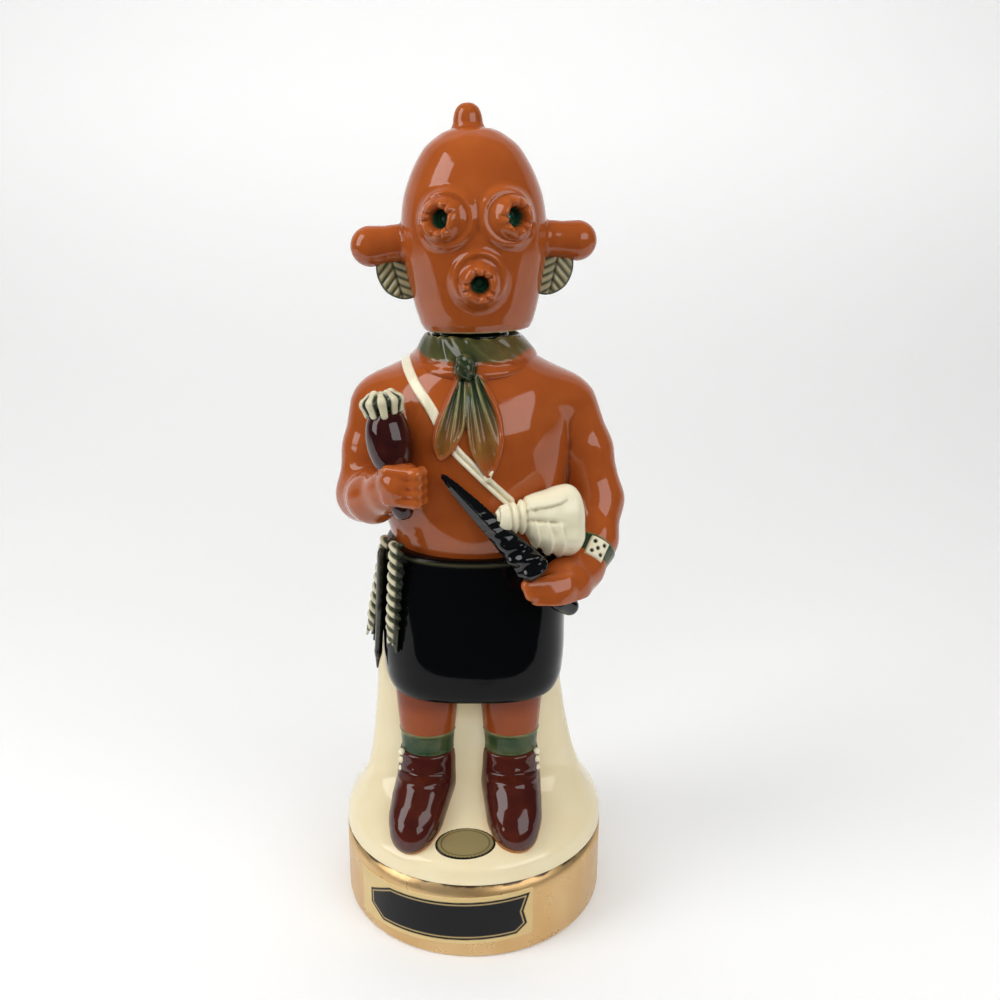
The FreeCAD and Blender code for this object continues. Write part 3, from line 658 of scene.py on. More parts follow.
# height, share of the way out to the plinth at the sides, front and back, and shift in millimetres
FLARE_SHARES = (
    (0.0, 1.0, 1.0, 1.0, 0.0), (0.02, 0.995, 0.998, 0.996, 0.0), (0.047, 0.972, 0.986, 0.98, 0.0),
    (0.11, 0.85, 0.93, 0.89, 0.0), (0.173, 0.633, 0.69, 0.7, 0.0), (0.24, 0.41, 0.345, 0.48, 0.0),
    (0.346, 0.183, 0.1, 0.25, -0.2), (0.5, -0.02, 0.02, 0.1, -0.85), (0.898, -0.33, -0.03, -0.06, -2.0),
    (1.14, -0.455, -0.06, -0.1, -2.5), (1.23, -0.56, -0.09, -0.19, -2.9), (1.275, -0.84, -0.18, -0.38, -3.1),
)
MOUND_ROWS = 90
MOUND_ROW_SPREAD = 1.35
MOUND_TURNS = 144


def mound_reach(height_share, column, inner):
    return inner + eased(height_share, FLARE_SHARES, column) * (PLINTH_RADIUS - inner)


def mound_field(p):
    x, y, z = p
    share = (z - MOUND_LOW[2]) / HEM_HEIGHT
    return oval(
        (x - eased(share, FLARE_SHARES, 4), y, z), mound_reach(share, 1, MOUND_HALF_WIDTH),
        mound_reach(share, 2, MOUND_FRONT), mound_reach(share, 3, MOUND_BACK))


class DECANTER_OT_mound(bpy.types.Operator):
    """Model the cream mound that flares into the plinth"""

    bl_idname = "decanter.mound"
    bl_label = "Mound"

    def execute(self, context):
        points = []
        top_share = FLARE_SHARES[-1][0]
        for row in range(MOUND_ROWS + 1):
            share = np.float32(top_share * (row / MOUND_ROWS) ** MOUND_ROW_SPREAD)
            side, front, back = (
                float(mound_reach(share, column, inner))
                for column, inner in ((1, MOUND_HALF_WIDTH), (2, MOUND_FRONT), (3, MOUND_BACK)))
            shift = float(eased(share, FLARE_SHARES, 4))
            height = MOUND_LOW[2] + share * HEM_HEIGHT
            for turn in range(MOUND_TURNS):
                angle = 2 * math.pi * turn / MOUND_TURNS
                depth = back if math.sin(angle) > 0 else front
                points.append((shift + side * math.cos(angle), depth * math.sin(angle), height))
        top = MOUND_ROWS * MOUND_TURNS
        faces = ring_faces(MOUND_ROWS + 1, MOUND_TURNS) + [tuple(range(top, top + MOUND_TURNS))]
        piece = add_mesh("mound_china", points, faces, {})
        g = glazes()
        glaze = glaze_material("cream_glaze", g.cream, g.ivory, g.cream_pool, 0.4, 0.4)
        dress(piece, glaze, "cream_glaze", "decanter", "mound")
        return {"FINISHED"}


# Kilt
KILT_FRONT = 35.0
KILT_BACK = 31.0
# height, half width, depth and squareness
KILT_SHARES = (
    (0.0, 0.86, 0.885, 2.9), (0.012, 0.9, 0.92, 2.9), (0.05, 0.946, 0.96, 2.9), (0.2, 0.992, 1.0, 2.85),
    (0.45, 1.0, 1.0, 2.65), (0.7, 0.99, 0.97, 2.4), (0.9, 0.962, 0.935, 2.2), (0.985, 0.928, 0.905, 2.13),
    (1.0, 0.905, 0.885, 2.13),
)
WAIST_DIP = 1.6


def waist_z(y):
    return KILT_HIGH[2] - 0.3 - WAIST_DIP * ramp(y, 5, -28)


def kilt_field(p):
    x, y, z = p
    share = (z - KILT_LOW[2]) / (KILT_HIGH[2] - KILT_LOW[2])
    width = KILT_HIGH[0] * eased(share, KILT_SHARES, 1)
    depth = eased(share, KILT_SHARES, 2)
    form = oval(p, width, KILT_FRONT * depth, KILT_BACK * depth, eased(share, KILT_SHARES, 3))
    drape = 0.3 * np.sin(0.19 * x + 0.9) * np.sin(0.05 * (z - 96)) + 0.2 * np.sin(0.11 * y + 0.07 * x)
    form = form + drape * ramp(share, 0.9, 0.3)
    return meet(meet(form, KILT_LOW[2] + 0.4 - z, 2.2), z - waist_z(y), 1.3)


class DECANTER_OT_kilt(bpy.types.Operator):
    """Model the black kilt"""

    bl_idname = "decanter.kilt"
    bl_label = "Kilt"

    def execute(self, context):
        g = glazes()
        low_z, high_z = KILT_LOW[2], KILT_HIGH[2]
        piece = cast(
            "kilt_china", kilt_field, (-39, -38, low_z - 2), (39, 34, high_z + 2), in_mm(sizes().body_grain),
            paint={
                "hem": lambda p: ramp(p[2], low_z + 2.0, low_z + 0.7) * 0.85,
                "waist": lambda p: 0.7 * bump(p[2] - waist_z(p[1]), -1.6, 0.5),
            })
        glaze = glaze_material(
            "black_glaze", g.black, g.black, g.black, 0.0, 0.0,
            (("hem", g.black_thin), ("waist", g.black_thin)), gloss=DULL_GLOSS)
        dress(piece, glaze, "black_glaze", "decanter", "kilt")
        return {"FINISHED"}


# Torso, arms and hands
# height, half width, front and back
TORSO_SHARES = (
    (-0.1, 0.80, 0.84, 0.84), (0.0, 0.867, 0.908, 0.9), (0.113, 0.92, 0.954, 0.95), (0.27, 0.96, 0.985, 0.98),
    (0.44, 0.987, 1.0, 1.0), (0.603, 1.0, 0.985, 1.0),
    (0.716, 1.0, 0.923, 0.966), (0.816, 0.98, 0.846, 0.897),
    (0.887, 0.9, 0.769, 0.828), (0.943, 0.76, 0.692, 0.741), (1.0, 0.58, 0.585, 0.638),
)
BORE_RADIUS = 9.5
RIGHT_ARM = (
    ((-35.0, 0.5, 205.6), 12.0), ((-39.4, -0.7, 190.5), 10.2), ((-42.0, -5.5, 173.6), 9.9),
    ((-37.4, -19, 176), 8.8), ((-30.4, -31, 182), 7.1),
)
LEFT_ARM = (
    ((35.0, 0.5, 205.6), 12.0), ((42.2, -0.7, 190), 10.4), ((47.3, -4, 171), 9.9), ((45.3, -14, 158), 8.8),
    ((40.4, -23.4, 149.8), 7.6),
)
RIGHT_PALM = ((-25.6, -37.2, 186.2), (7.6, 8.4, 7.6))
RIGHT_FINGER_HEIGHTS = (181.0, 184.4, 187.8, 191.0)
LEFT_PALM = (((40.4, -23.4, 149.6), 7.6), ((34.0, -31.5, 146.8), 8.8), ((28.2, -37.6, 144.9), 7.8))
LEFT_FINGERS = (
    ((33.0, -40.0, 151.0), (18.8, -43.4, 150.2)), ((33.0, -41.2, 147.4), (20.2, -43.8, 146.8)),
    ((32.0, -40.2, 143.4), (23.2, -42.8, 143.0)),
)


def torso_field(p):
    x, y, z = p
    share = (z - TORSO_LOW[2]) / TORSO_HEIGHT
    form = oval(
        p, CHEST_HALF_WIDTH * eased(share, TORSO_SHARES, 1), CHEST_FRONT * eased(share, TORSO_SHARES, 2),
        CHEST_BACK * eased(share, TORSO_SHARES, 3))
    front = ramp(y, 0, -12)
    chest = bump(np.abs(x), 15, 11) * bump(z, 203, 9)
    belly = bump(x, 0, 20) * bump(z, 170, 10)
    spine = bump(x, 0, 5) * bump(z, 190, 22) * ramp(y, 0, 12)
    return form - front * (1.5 * chest + 0.6 * belly) + 1.0 * spine


def hand_field_right(p):
    finger = in_mm(sizes().finger_radius)
    palm = egg(local(p, RIGHT_PALM[0], (0.92, -0.38, 0.05), (0, 0, 1)), RIGHT_PALM[1])
    wrist = bone(p, RIGHT_ARM[-1][0], (-27, -35.5, 185.5), 7.2, 7.2)
    form = join(palm, wrist, 3.0)
    for height in RIGHT_FINGER_HEIGHTS:
        curl = bone(p, (-30.0, -40.6, height + 0.3), (-20.2, -44.2, height), finger, finger)
        curl = join(curl, bone(p, (-20.2, -44.2, height), (-18.4, -40.5, height), finger, finger), 0.8)
        form = join(form, curl, 1.1)
    thumb = bone(p, (-31, -37, 190.4), (-22.5, -41.0, 191.6), 2.4, 2.2)
    return join(form, thumb, 1.2)


def hand_field_left(p):
    finger = in_mm(sizes().finger_radius)
    form = bones(p, LEFT_PALM, 4.0)
    for knuckle, tip in LEFT_FINGERS:
        form = join(form, bone(p, knuckle, tip, finger * 1.15, finger), 2.4)
    return form


SHOULDER_BLEND = (1.8, 11.0)
ARM_BLEND = 3.0


def figure_field(p):
    x, y, z = p
    form = torso_field(p)
    soft = SHOULDER_BLEND[0] + (SHOULDER_BLEND[1] - SHOULDER_BLEND[0]) * ramp(z, 202, 214)
    form = join(form, join(bones(p, RIGHT_ARM, ARM_BLEND) - 0.6, hand_field_right(p), 3.0), soft)
    form = join(form, join(bones(p, LEFT_ARM, ARM_BLEND) - 0.6, hand_field_left(p), 4.0), soft)
    form = meet(form, z - TORSO_HIGH[2] - 0.5, 1.0)
    form = meet(form, TORSO_LOW[2] - 14 - z + 6 * ramp(length(x, y), 40, 20))
    return carve(form, np.maximum(length(x, y) - BORE_RADIUS, 208 - z))


class DECANTER_OT_figure(bpy.types.Operator):
    """Model the torso with its arms and hands"""

    bl_idname = "decanter.figure"
    bl_label = "Torso, arms and hands"

    def execute(self, context):
        piece = cast("figure_china", figure_field, (-60, -52, 136), (62, 34, 231), in_mm(sizes().body_grain))
        dress(piece, skin_glaze("skin_glaze"), "skin_glaze", "decanter",
              "torso", "arm_right", "arm_left", "hand_right", "hand_left")
        return {"FINISHED"}


# Neck
NECK_LIP = 1.3
NECK_TURNS = 96


class DECANTER_OT_neck(bpy.types.Operator):
    """Turn the bottle's mouth"""

    bl_idname = "decanter.neck"
    bl_label = "Neck"

    def execute(self, context):
        g = glazes()
        radius, top = NECK_HIGH[0], NECK_HIGH[2]
        outline = [(radius + 3, NECK_LOW[2] - 2), (radius, NECK_LOW[2])]
        outline += rounded_corner((radius - NECK_LIP, top - NECK_LIP), NECK_LIP, 0, 90)
        outline += rounded_corner((BORE_RADIUS + NECK_LIP, top - NECK_LIP), NECK_LIP, 90, 180)
        outline += [(BORE_RADIUS, NECK_LOW[2] - 12)]
        piece = lathe("neck_china", outline, NECK_TURNS)
        glaze = glaze_material("neck_glaze", g.green_neck, g.green, g.black, 0.5, 0.3)
        dress(piece, glaze, "green_glaze", "decanter", "neck_finish")
        return {"FINISHED"}


# Scarf
KNOT = (-3.2, -26.4, 225.4)
KNOT_RADII = (3.8, 4.2, 4.9)
RIGHT_TAIL = (
    (-5.6, 223), (-10.2, 214), (-13.8, 206), (-15.0, 198.5), (-12.6, 193.0), (-7.8, 196.0),
    (-2.9, 206), (-2.4, 222),
)
LEFT_TAIL = (
    (-2.8, 222), (-3.0, 208), (-1.4, 197), (2.6, 189.3), (5.4, 186.8), (8.6, 191.5), (10.6, 202),
    (8.0, 214), (1.4, 223),
)


def outline_gap(x, z, outline, spans=5):
    """Distance in a plane to a closed outline: below zero inside. One span leaves its edges straight."""
    line = smooth_line(list(outline) + [outline[0]], spans)
    nearest = np.full(np.broadcast(x, z).shape, 1e3, dtype=np.float32)
    inside = np.zeros(nearest.shape, dtype=bool)
    for start, end in zip(line, line[1:]):
        run = end - start
        share = np.clip(((x - start[0]) * run[0] + (z - start[1]) * run[1]) / max(run @ run, 1e-9), 0, 1)
        nearest = np.minimum(nearest, length(x - start[0] - share * run[0], z - start[1] - share * run[1]))
        if abs(run[1]) > 1e-9:
            crosses = (start[1] > z) != (end[1] > z)
            inside ^= crosses & (x < start[0] + (z - start[1]) * run[0] / run[1])
    return np.where(inside, -nearest, nearest)


def from_front(value):
    """A coordinate of a lattice without its depth, for outlines seen from the front."""
    return value[:, :1, :] if np.ndim(value) == 3 else value


def pleats(x, z):
    """Waves that fan out from the knot."""
    fan = np.arctan2(x - KNOT[0], KNOT[2] + 6 - z)
    return np.cos(fan * 38 + 0.6 * np.sin(fan * 9))


def collar_front(x, y):
    """One at the knot, falling to nought at the sides."""
    return ramp(np.cos(np.arctan2(x - KNOT[0], -y)), 0.3, 1.0)


def collar_field(p):
    x, y, z = p
    around = length(x, y)
    ahead = collar_front(x, y)
    upper = bone((around, z), (21.7, 226.2), (17.4, 233.0), 2.0, 1.5)
    lower = bone((around - 2.0 * ahead, z + 2.4 * ahead), (20.4, 226.6), (21.8, 224.6), 1.8, 2.0)
    turn = np.arctan2(x - KNOT[0], -y)
    wrinkle = 0.3 * np.sin(5.0 * turn + 0.6 * (z - 224)) + 0.25 * np.sin(19 * turn + 0.9 * z) * ahead
    return join(upper + wrinkle * ramp(z, 224, 227), lower, 0.8)


def scarf_field(p):
    x, y, z = p
    form = collar_field(p)
    knot_local = local(p, KNOT, (1, 0, 0), (0, 0, 1))
    crease = 0.4 * np.sin(1.5 * knot_local[0] + 0.9 * knot_local[2]) * np.sin(0.8 * knot_local[2] - 0.6)
    form = join(form, egg(knot_local, KNOT_RADII) + crease, 0.8)
    chest = torso_field(p)
    flat_x, flat_z = from_front(x), from_front(z)
    depth = in_mm(sizes().pleat_depth)
    waves = depth * pleats(flat_x, flat_z)
    for outline in (RIGHT_TAIL, LEFT_TAIL):
        gap = outline_gap(flat_x, flat_z, outline)
        lift = 1.7 + waves * ramp(gap, -0.3, -2.2) + 0.8 * bump(gap, -0.9, 0.8)
        tail = meet(meet(chest - lift, gap, 1.4), y + 4, 0.5)
        tail = np.maximum(tail, -chest - 2.5)
        form = join(form, tail, 0.8)
    return form


def scarf_brown(p):
    """Where the scarf has the skin's glaze: below the collar's roll and along the tails' outer edges."""
    x, y, z = p
    edge = 229.6 - 3.2 * collar_front(x, y)
    off_knot = ramp(length(x - KNOT[0], z - KNOT[2] + 0.6), 3.8, 5.0)
    right, left = outline_gap(x, z, RIGHT_TAIL), outline_gap(x, z, LEFT_TAIL)
    off_knot = np.maximum(off_knot * ramp(np.minimum(right, left), -1.2, 0.4), ramp(y, -14, -8))
    collar = ramp(z, edge + 0.9, edge - 0.9) * ramp(z, 216, 219.5) * off_knot
    right_edge = ramp(right, -1.9, -0.8) * ramp(x, -4.8, -7.0) * ramp(z, 223, 220)
    left_edge = ramp(left, -2.8, -1.2) * ramp(x, 2.6, 4.6) * ramp(z, 223, 220)
    tips = ramp(z, 196.5, 191) * ramp(z, 223, 220)
    return np.maximum.reduce([collar, right_edge, left_edge, 0.7 * tips])


class DECANTER_OT_scarf(bpy.types.Operator):
    """Model the knotted scarf"""

    bl_idname = "decanter.scarf"
    bl_label = "Scarf"

    def execute(self, context):
        g = glazes()
        piece = cast(
            "scarf_china", scarf_field, (-26, -37, 186), (26, 26, 235), fine_grain(),
            paint={
                "brown": scarf_brown,
                # Amber towards the tails' tips and a faint amber tint on the collar, with a painted highlight
                # growing towards the collar's +X side
                "amber_fade_and_sheen": lambda p: np.where(
                    p[2] < 224, 0.55 * ramp(p[2], 216, 196), 0.08 + 0.12 * ramp(p[0], 0, 14)),
                "dark": lambda p: (
                    0.75 * ramp(length(p[0] - KNOT[0], p[2] - KNOT[2]), 6.0, 3.5) * (p[1] < -15)),
            })
        glaze = glaze_material(
            "green_glaze", g.green, g.green_thin, g.green_pool, 1.0, 0.9,
            (("amber_fade_and_sheen", g.amber), ("dark", g.green_knot), ("brown", g.skin)))
        dress(piece, glaze, "green_glaze", "decanter",
              "scarf_collar", "scarf_knot", "scarf_tail_right", "scarf_tail_left")
        return {"FINISHED"}


# Strap and bag
STRAP = ((-26.6, 227.2), (-21.0, 218.2), (-14.8, 210.0), (-8.5, 199.0), (1.5, 188.6), (12.7, 177.6))
STRAP_HALF_WIDTH = 1.9
STRAP_RISE = 1.4
STRAP_END = ((4.6, -33.2, 186.6), (6.4, -34.4, 189.6))
BAG_NECK = (8.4, -38.6, 173.0)
BAG_ALONG = (0.935, 0.35, 0.02)
# way along the bag and radius
BAG_SHARES = (
    (-0.5, 3.6), (0.6, 4.8), (2.2, 5.4), (6.0, 5.5), (8.0, 5.6), (10.4, 6.2), (14.0, 8.2),
    (18.5, 10.0), (24.0, 11.9), (28.0, 12.2), (30.6, 10.2), (33.0, 4.5),
)
BAG_DEPTH_SHARE = 0.72


def strap_field(p):
    x, y, z = p
    flat_x, flat_z = from_front(x), from_front(z)
    chest = torso_field(p)
    line = smooth_line(STRAP, 4)
    middle = np.full(np.broadcast(flat_x, flat_z).shape, 1e3, dtype=np.float32)
    for start, end in zip(line, line[1:]):
        middle = np.minimum(middle, bone((flat_x, flat_z), start, end, 0.0, 0.0))
    under = np.minimum(outline_gap(flat_x, flat_z, RIGHT_TAIL), outline_gap(flat_x, flat_z, LEFT_TAIL))
    rise = STRAP_RISE - 1.6 * ramp(under, 0.6, -0.8)
    split = 0.6 * ramp(flat_z, 201, 197) * bump(middle, 0.15, 0.45)
    band = meet(chest - rise + split, middle - STRAP_HALF_WIDTH, 0.8)
    band = np.maximum(np.maximum(band, -chest - 2.0), y - 6)
    return join(band, bone(p, STRAP_END[0], STRAP_END[1], 1.2, 0.5), 1.0)


def bag_field(p):
    along, across, up = local(p, BAG_NECK, BAG_ALONG, (0, 0, 1))
    up = up + 2.2 * ramp(along, 9, 22)
    radius = eased(along, BAG_SHARES, 1)
    around = length(across / BAG_DEPTH_SHARE, up)
    turn = np.arctan2(across / BAG_DEPTH_SHARE, up + 1e-4)
    depth = in_mm(sizes().fold_depth)
    gathers = 0.55 * np.cos(2.2 * along + 1.1 * np.sin(turn) - 0.6)
    gathers = gathers * ramp(along, 2.5, 4.0) * ramp(along, 13, 9.5)
    below = ramp(up, 3.5, -4.0)
    hanging = 1 - np.sqrt(np.abs(np.sin(0.72 * (along - 12.2) + 0.1 * up)))
    hanging = hanging * below * ramp(along, 9.5, 12.5) * ramp(along, 25, 20)
    slant = up - 3.4 - 0.36 * (along - 9)
    shoulder = ramp(slant, -0.8, 0.5) * ramp(slant, 6.0, 0.5) * ramp(along, 8, 12) * ramp(along, 27, 20)
    second = up + 0.5 - 0.12 * (along - 9)
    crease = bump(second, 0, 0.9) * ramp(along, 8, 12) * ramp(along, 24, 17)
    swirl = 0.8 * np.sin(2 * turn + 1.9 * around) * bump(along, 0.2, 1.8)
    sag = 2.2 * ramp(up, -1, -7) * ramp(along, 8, 16)
    folds = 0.9 * gathers + 1.5 * hanging + 1.1 * shoulder - 0.9 * crease
    form = (around - radius - sag - depth * folds) * 0.75
    form = meet(form, -along - 0.2 + swirl, 1.0)
    return meet(form, along - 33, 2)


class DECANTER_OT_strap_and_bag(bpy.types.Operator):
    """Model the shoulder strap and the bag under the left arm"""

    bl_idname = "decanter.strap_and_bag"
    bl_label = "Strap and bag"

    def execute(self, context):
        g = glazes()
        glaze = glaze_material("ivory_glaze", g.ivory, g.ivory, g.ivory_pool, 0.5, 0.9)
        strap = cast("strap_china", strap_field, (-32, -38, 172), (18, 10, 232), fine_grain())
        dress(strap, glaze, "cream_glaze", "decanter", "shoulder_strap")
        bag = cast("bag_china", bag_field, (4, -50, 154), (48, -14, 192), fine_grain())
        dress(bag, glaze, "cream_glaze", "decanter", "bag")
        return {"FINISHED"}


# Rattle
RATTLE_LOW = (-24.6, -35.4, 172.2)
RATTLE_HIGH = (-32.2, -31.5, 214.1)
GOURD_OUTLINE = (
    (0, 18.2), (5.4, 18.6), (6.8, 20.6), (7.8, 24.0), (8.2, 28.0), (7.9, 32.0),
    (6.9, 36.0), (5.4, 38.8), (0, 40.0),
)
HANDLE_OUTLINE = (
    (0, 0.2), (2.2, 0.5), (3.1, 1.6), (4.2, 4.0), (4.6, 6.0), (4.0, 8.2), (3.3, 10.5), (3.2, 20.0), (0, 20.0),
)
TUFT_LOBES = 10
TUFT_PHASE = 0.2


def rattle_axes(p):
    return local(p, RATTLE_LOW, np.subtract(RATTLE_HIGH, RATTLE_LOW), (0, -1, 0))


def gourd_field(p):
    along, across, up = rattle_axes(p)
    around = length(across, up)
    gourd = smooth_line(GOURD_OUTLINE[1:-1], 6)
    gourd = [GOURD_OUTLINE[0]] + gourd.tolist() + [GOURD_OUTLINE[-1]]
    form = turned(around, along, gourd)
    handle = [HANDLE_OUTLINE[0]] + smooth_line(HANDLE_OUTLINE[1:-1], 4).tolist() + [HANDLE_OUTLINE[-1]]
    return join(form, turned(around, along, handle), 0.8)


def tuft_field(p):
    along, across, up = rattle_axes(p)
    form = egg((along - 41.5, across, up), (4.0, 5.2, 5.2))
    for lobe in range(TUFT_LOBES):
        turn = 2 * math.pi * lobe / TUFT_LOBES + TUFT_PHASE
        c, s = math.cos(turn), math.sin(turn)
        low = 38.8 + 0.8 * math.sin(1.7 * lobe + 1)
        top = 44.6 + 0.5 * math.sin(2.3 * lobe)
        stem = bone((along, across, up), (low, 6.0 * c, 6.0 * s), (42.6, 6.1 * c, 6.1 * s), 1.35, 1.95)
        curl = bone((along, across, up), (42.6, 6.1 * c, 6.1 * s), (top, 3.8 * c, 3.8 * s), 1.95, 1.7)
        form = join(form, join(stem, curl, 0.8), 0.3)
    return form


def tuft_gaps(p):
    along, across, up = rattle_axes(p)
    lobes = np.cos(TUFT_LOBES * (np.arctan2(up, across) - TUFT_PHASE))
    strokes = ramp(lobes, 0.0, -0.6) * ramp(along, 46.6, 44.8)
    return 0.95 * strokes * ramp(length(across, up), 3.2, 4.6)


class DECANTER_OT_rattle(bpy.types.Operator):
    """Model the gourd rattle with its feathers"""

    bl_idname = "decanter.rattle"
    bl_label = "Rattle"

    def execute(self, context):
        g = glazes()
        gourd = cast("rattle_china", gourd_field, (-43, -46, 164), (-14, -20, 216), fine_grain())
        glaze = glaze_material("maroon_glaze", g.maroon, g.oxblood_thin, g.maroon_pool, 0.35, 0.5)
        dress(gourd, glaze, "oxblood_glaze", "decanter", "rattle_gourd", "rattle_handle")
        tuft = cast("tuft_china", tuft_field, (-45, -44, 204), (-20, -20, 224), fine_grain(0.8),
                    paint={"gaps": tuft_gaps})
        feather = glaze_material(
            "feather_glaze", g.feather, g.ivory, g.feather_gap, 0.8, 1.0, (("gaps", g.feather_gap),))
        dress(tuft, feather, "feather_glaze", "decanter", "rattle_feathers")
        return {"FINISHED"}


# Whip
WHIP_TIP = (-11.6, -34.5, 188.6)
WHIP_END = (21.8, -43.0, 155.4)
# share of the way along the whip and half width
WHIP_SHARES = (
    (-0.02, 0.5), (0.03, 1.3), (0.12, 2.1), (0.25, 2.8), (0.45, 3.6), (0.66, 4.3), (0.78, 4.9),
    (0.9, 5.4), (1.0, 5.6), (1.08, 5.4),
)
BUTT = ((31.0, -37.0, 141.6), (35.0, -34.2, 138.6))


def whip_field(p):
    run = np.subtract(WHIP_END, WHIP_TIP)
    whole = np.linalg.norm(run)
    along, across, up = local(p, WHIP_TIP, run, (0, -1, 0))
    share = along / whole
    width = eased(share, WHIP_SHARES, 1)
    keel = np.abs(across) / width + np.abs(up) / (0.8 * width) - 1
    soft = length(across / width, up / (0.82 * width)) - 1
    grip = ramp(share, 0.5, 0.76)
    form = (keel * 0.75 * (1 - grip) + soft * grip) * width * 0.75
    ribs = 0.2 * np.sin(1.5 * along + 0.8 * across) * bump(share, 0.56, 0.12) * ramp(up, 0.4, 1.6)
    wraps = 0.5 * np.sin(0.95 * along + 0.55 * across) + 0.18 * np.sin(0.6 * along - 1.0 * across + 1)
    form = form - ribs - wraps * ramp(share, 0.66, 0.78) * ramp(up, 0.2, 2.4)
    form = meet(meet(form, -along - 0.3, 0.8), along - whole - 2.2, 2.6)
    return join(form, bone(p, BUTT[0], BUTT[1], 3.7, 3.5))


class DECANTER_OT_whip(bpy.types.Operator):
    """Model the whip in the left hand"""

    bl_idname = "decanter.whip"
    bl_label = "Whip"

    def execute(self, context):
        g = glazes()
        piece = cast(
            "whip_china", whip_field, (-16, -50, 134), (45, -26, 193), fine_grain(), single=False)
        glaze = glaze_material("whip_glaze", g.black, g.black, g.black, 0.0, 0.0)
        dress(piece, glaze, "black_glaze", "decanter", "whip_blade", "whip_grip", "whip_butt")
        return {"FINISHED"}


# Bow guard
GUARD_HIGH = LEFT_ARM[3][0]
GUARD_LOW = LEFT_ARM[4][0]
GUARD_SPAN = (3.4, 14.0)
GUARD_MIDDLE = sum(GUARD_SPAN) / 2
GUARD_HALF = (GUARD_SPAN[1] - GUARD_SPAN[0]) / 2
GUARD_RISE = 1.0
PLAQUE_FACING = (0.2, -0.92, 0.33)
PLAQUE_HALF = 3.8
PLAQUE_DOTS = ((-0.5, 0.52), (0.5, 0.48), (0.02, 0.02), (-0.52, -0.5), (0.5, -0.52))


def guard_axes(p):
    return local(p, GUARD_HIGH, np.subtract(GUARD_LOW, GUARD_HIGH), PLAQUE_FACING)


def guard_field(p):
    along = guard_axes(p)[0]
    arm = bones(p, LEFT_ARM[2:], 4.0)
    band = meet(arm - GUARD_RISE, np.abs(along - GUARD_MIDDLE) - GUARD_HALF, 1.0)
    return np.maximum(band, -arm - 2.0)


def plaque_field(p):
    along, across, up = guard_axes(p)
    arm = bones(p, LEFT_ARM[2:], 4.0)
    sides = np.maximum(np.abs(along - GUARD_MIDDLE), np.abs(across)) - PLAQUE_HALF
    form = meet(meet(arm - GUARD_RISE - 1.3, sides, 1.0), 3 - up)
    for dot_along, dot_across in PLAQUE_DOTS:
        pit = length(along - GUARD_MIDDLE - dot_along * PLAQUE_HALF, across - dot_across * PLAQUE_HALF)
        form = form + 0.7 * bump(pit, 0, 0.75)
    return np.maximum(form, -arm - 1.0)


def plaque_dots(p):
    along, across = guard_axes(p)[:2]
    dots = [
        ramp(length(along - GUARD_MIDDLE - a * PLAQUE_HALF, across - b * PLAQUE_HALF), 1.0, 0.5)
        for a, b in PLAQUE_DOTS
    ]
    return np.maximum.reduce(dots)


class DECANTER_OT_guard(bpy.types.Operator):
    """Model the bow guard on the left forearm"""

    bl_idname = "decanter.guard"
    bl_label = "Bow guard"

    def execute(self, context):
        g = glazes()
        band = cast("guard_china", guard_field, (30, -34, 140), (58, 0, 170), fine_grain())
        glaze = glaze_material("guard_glaze", g.green_guard, g.green_thin, g.green_pool, 0.8, 0.8)
        dress(band, glaze, "green_glaze", "decanter", "bow_guard")
        plaque = cast(
            "plaque_china", plaque_field, (34, -36, 142), (58, -6, 170), fine_grain(0.7),
            paint={"dots": plaque_dots})
        cream = glaze_material(
            "plaque_glaze", g.ivory, g.ivory, g.ivory_pool, 0.5, 0.4, (("dots", g.feather_gap),))
        dress(plaque, cream, "cream_glaze", "decanter", "bow_guard_plaque")
        return {"FINISHED"}


# Sash
FRONT_CORD = ((-28.7, -26.4, 160.0), (-31.2, -27.0, 117.5))
REAR_CORD = ((-33.2, -12.5, 157.5), (-41.6, -6.5, 113.5))
BELT = (
    ((-35.4, -15.5, 152), 3.2), ((-36.6, -13.4, 130), 3.4), ((-38.2, -11.0, 110), 2.8),
    ((-38.8, -10.2, 103), 0.9),
)
STRANDS = 2
STRAND_OFFSET = 1.3
STRAND_RADIUS = 1.75
TASSEL_THREADS = 7


def cord_field(p, high, low):
    run = np.subtract(low, high)
    whole = np.linalg.norm(run)
    along, across, up = local(p, high, run, (0, -1, 0))
    rope = whole * 0.8
    turn = 2 * math.pi * along / in_mm(sizes().cord_pitch)
    form = None
    for strand in range(STRANDS):
        phase = turn + 2 * math.pi * strand / STRANDS
        gap = length(across - STRAND_OFFSET * np.cos(phase), up - STRAND_OFFSET * np.sin(phase))
        gap = gap - STRAND_RADIUS
        form = gap if form is None else join(form, gap, 0.25)
    form = meet(form * 0.8, np.maximum(-along - 1.0, along - rope), 1.5)
    for thread in range(TASSEL_THREADS):
        lean = 2 * math.pi * thread / TASSEL_THREADS
        tip = whole * (0.96 + 0.06 * math.sin(5 * thread))
        form = join(form, bone(
            (along, across, up), (rope - 1.5, 1.1 * math.cos(lean), 1.1 * math.sin(lean)),
            (tip, 1.7 * math.cos(lean), 1.5 * math.sin(lean)), 1.3, 0.5), 0.3)
    return form


def cord_shade(p, high, low):
    """Darker in the grooves of a cord, and painted shade on its side against the kilt."""
    along, across, up = local(p, high, np.subtract(low, high), (0, -1, 0))
    turn = 2 * math.pi * along / in_mm(sizes().cord_pitch)
    groove = np.abs(np.sin(turn - np.arctan2(up, across)))
    axis_x = high[0] + (low[0] - high[0]) * along / np.linalg.norm(np.subtract(low, high))
    return np.maximum(0.9 * ramp(groove, 0.55, 0.85), 0.95 * ramp(p[0] - axis_x, -0.4, 0.8))


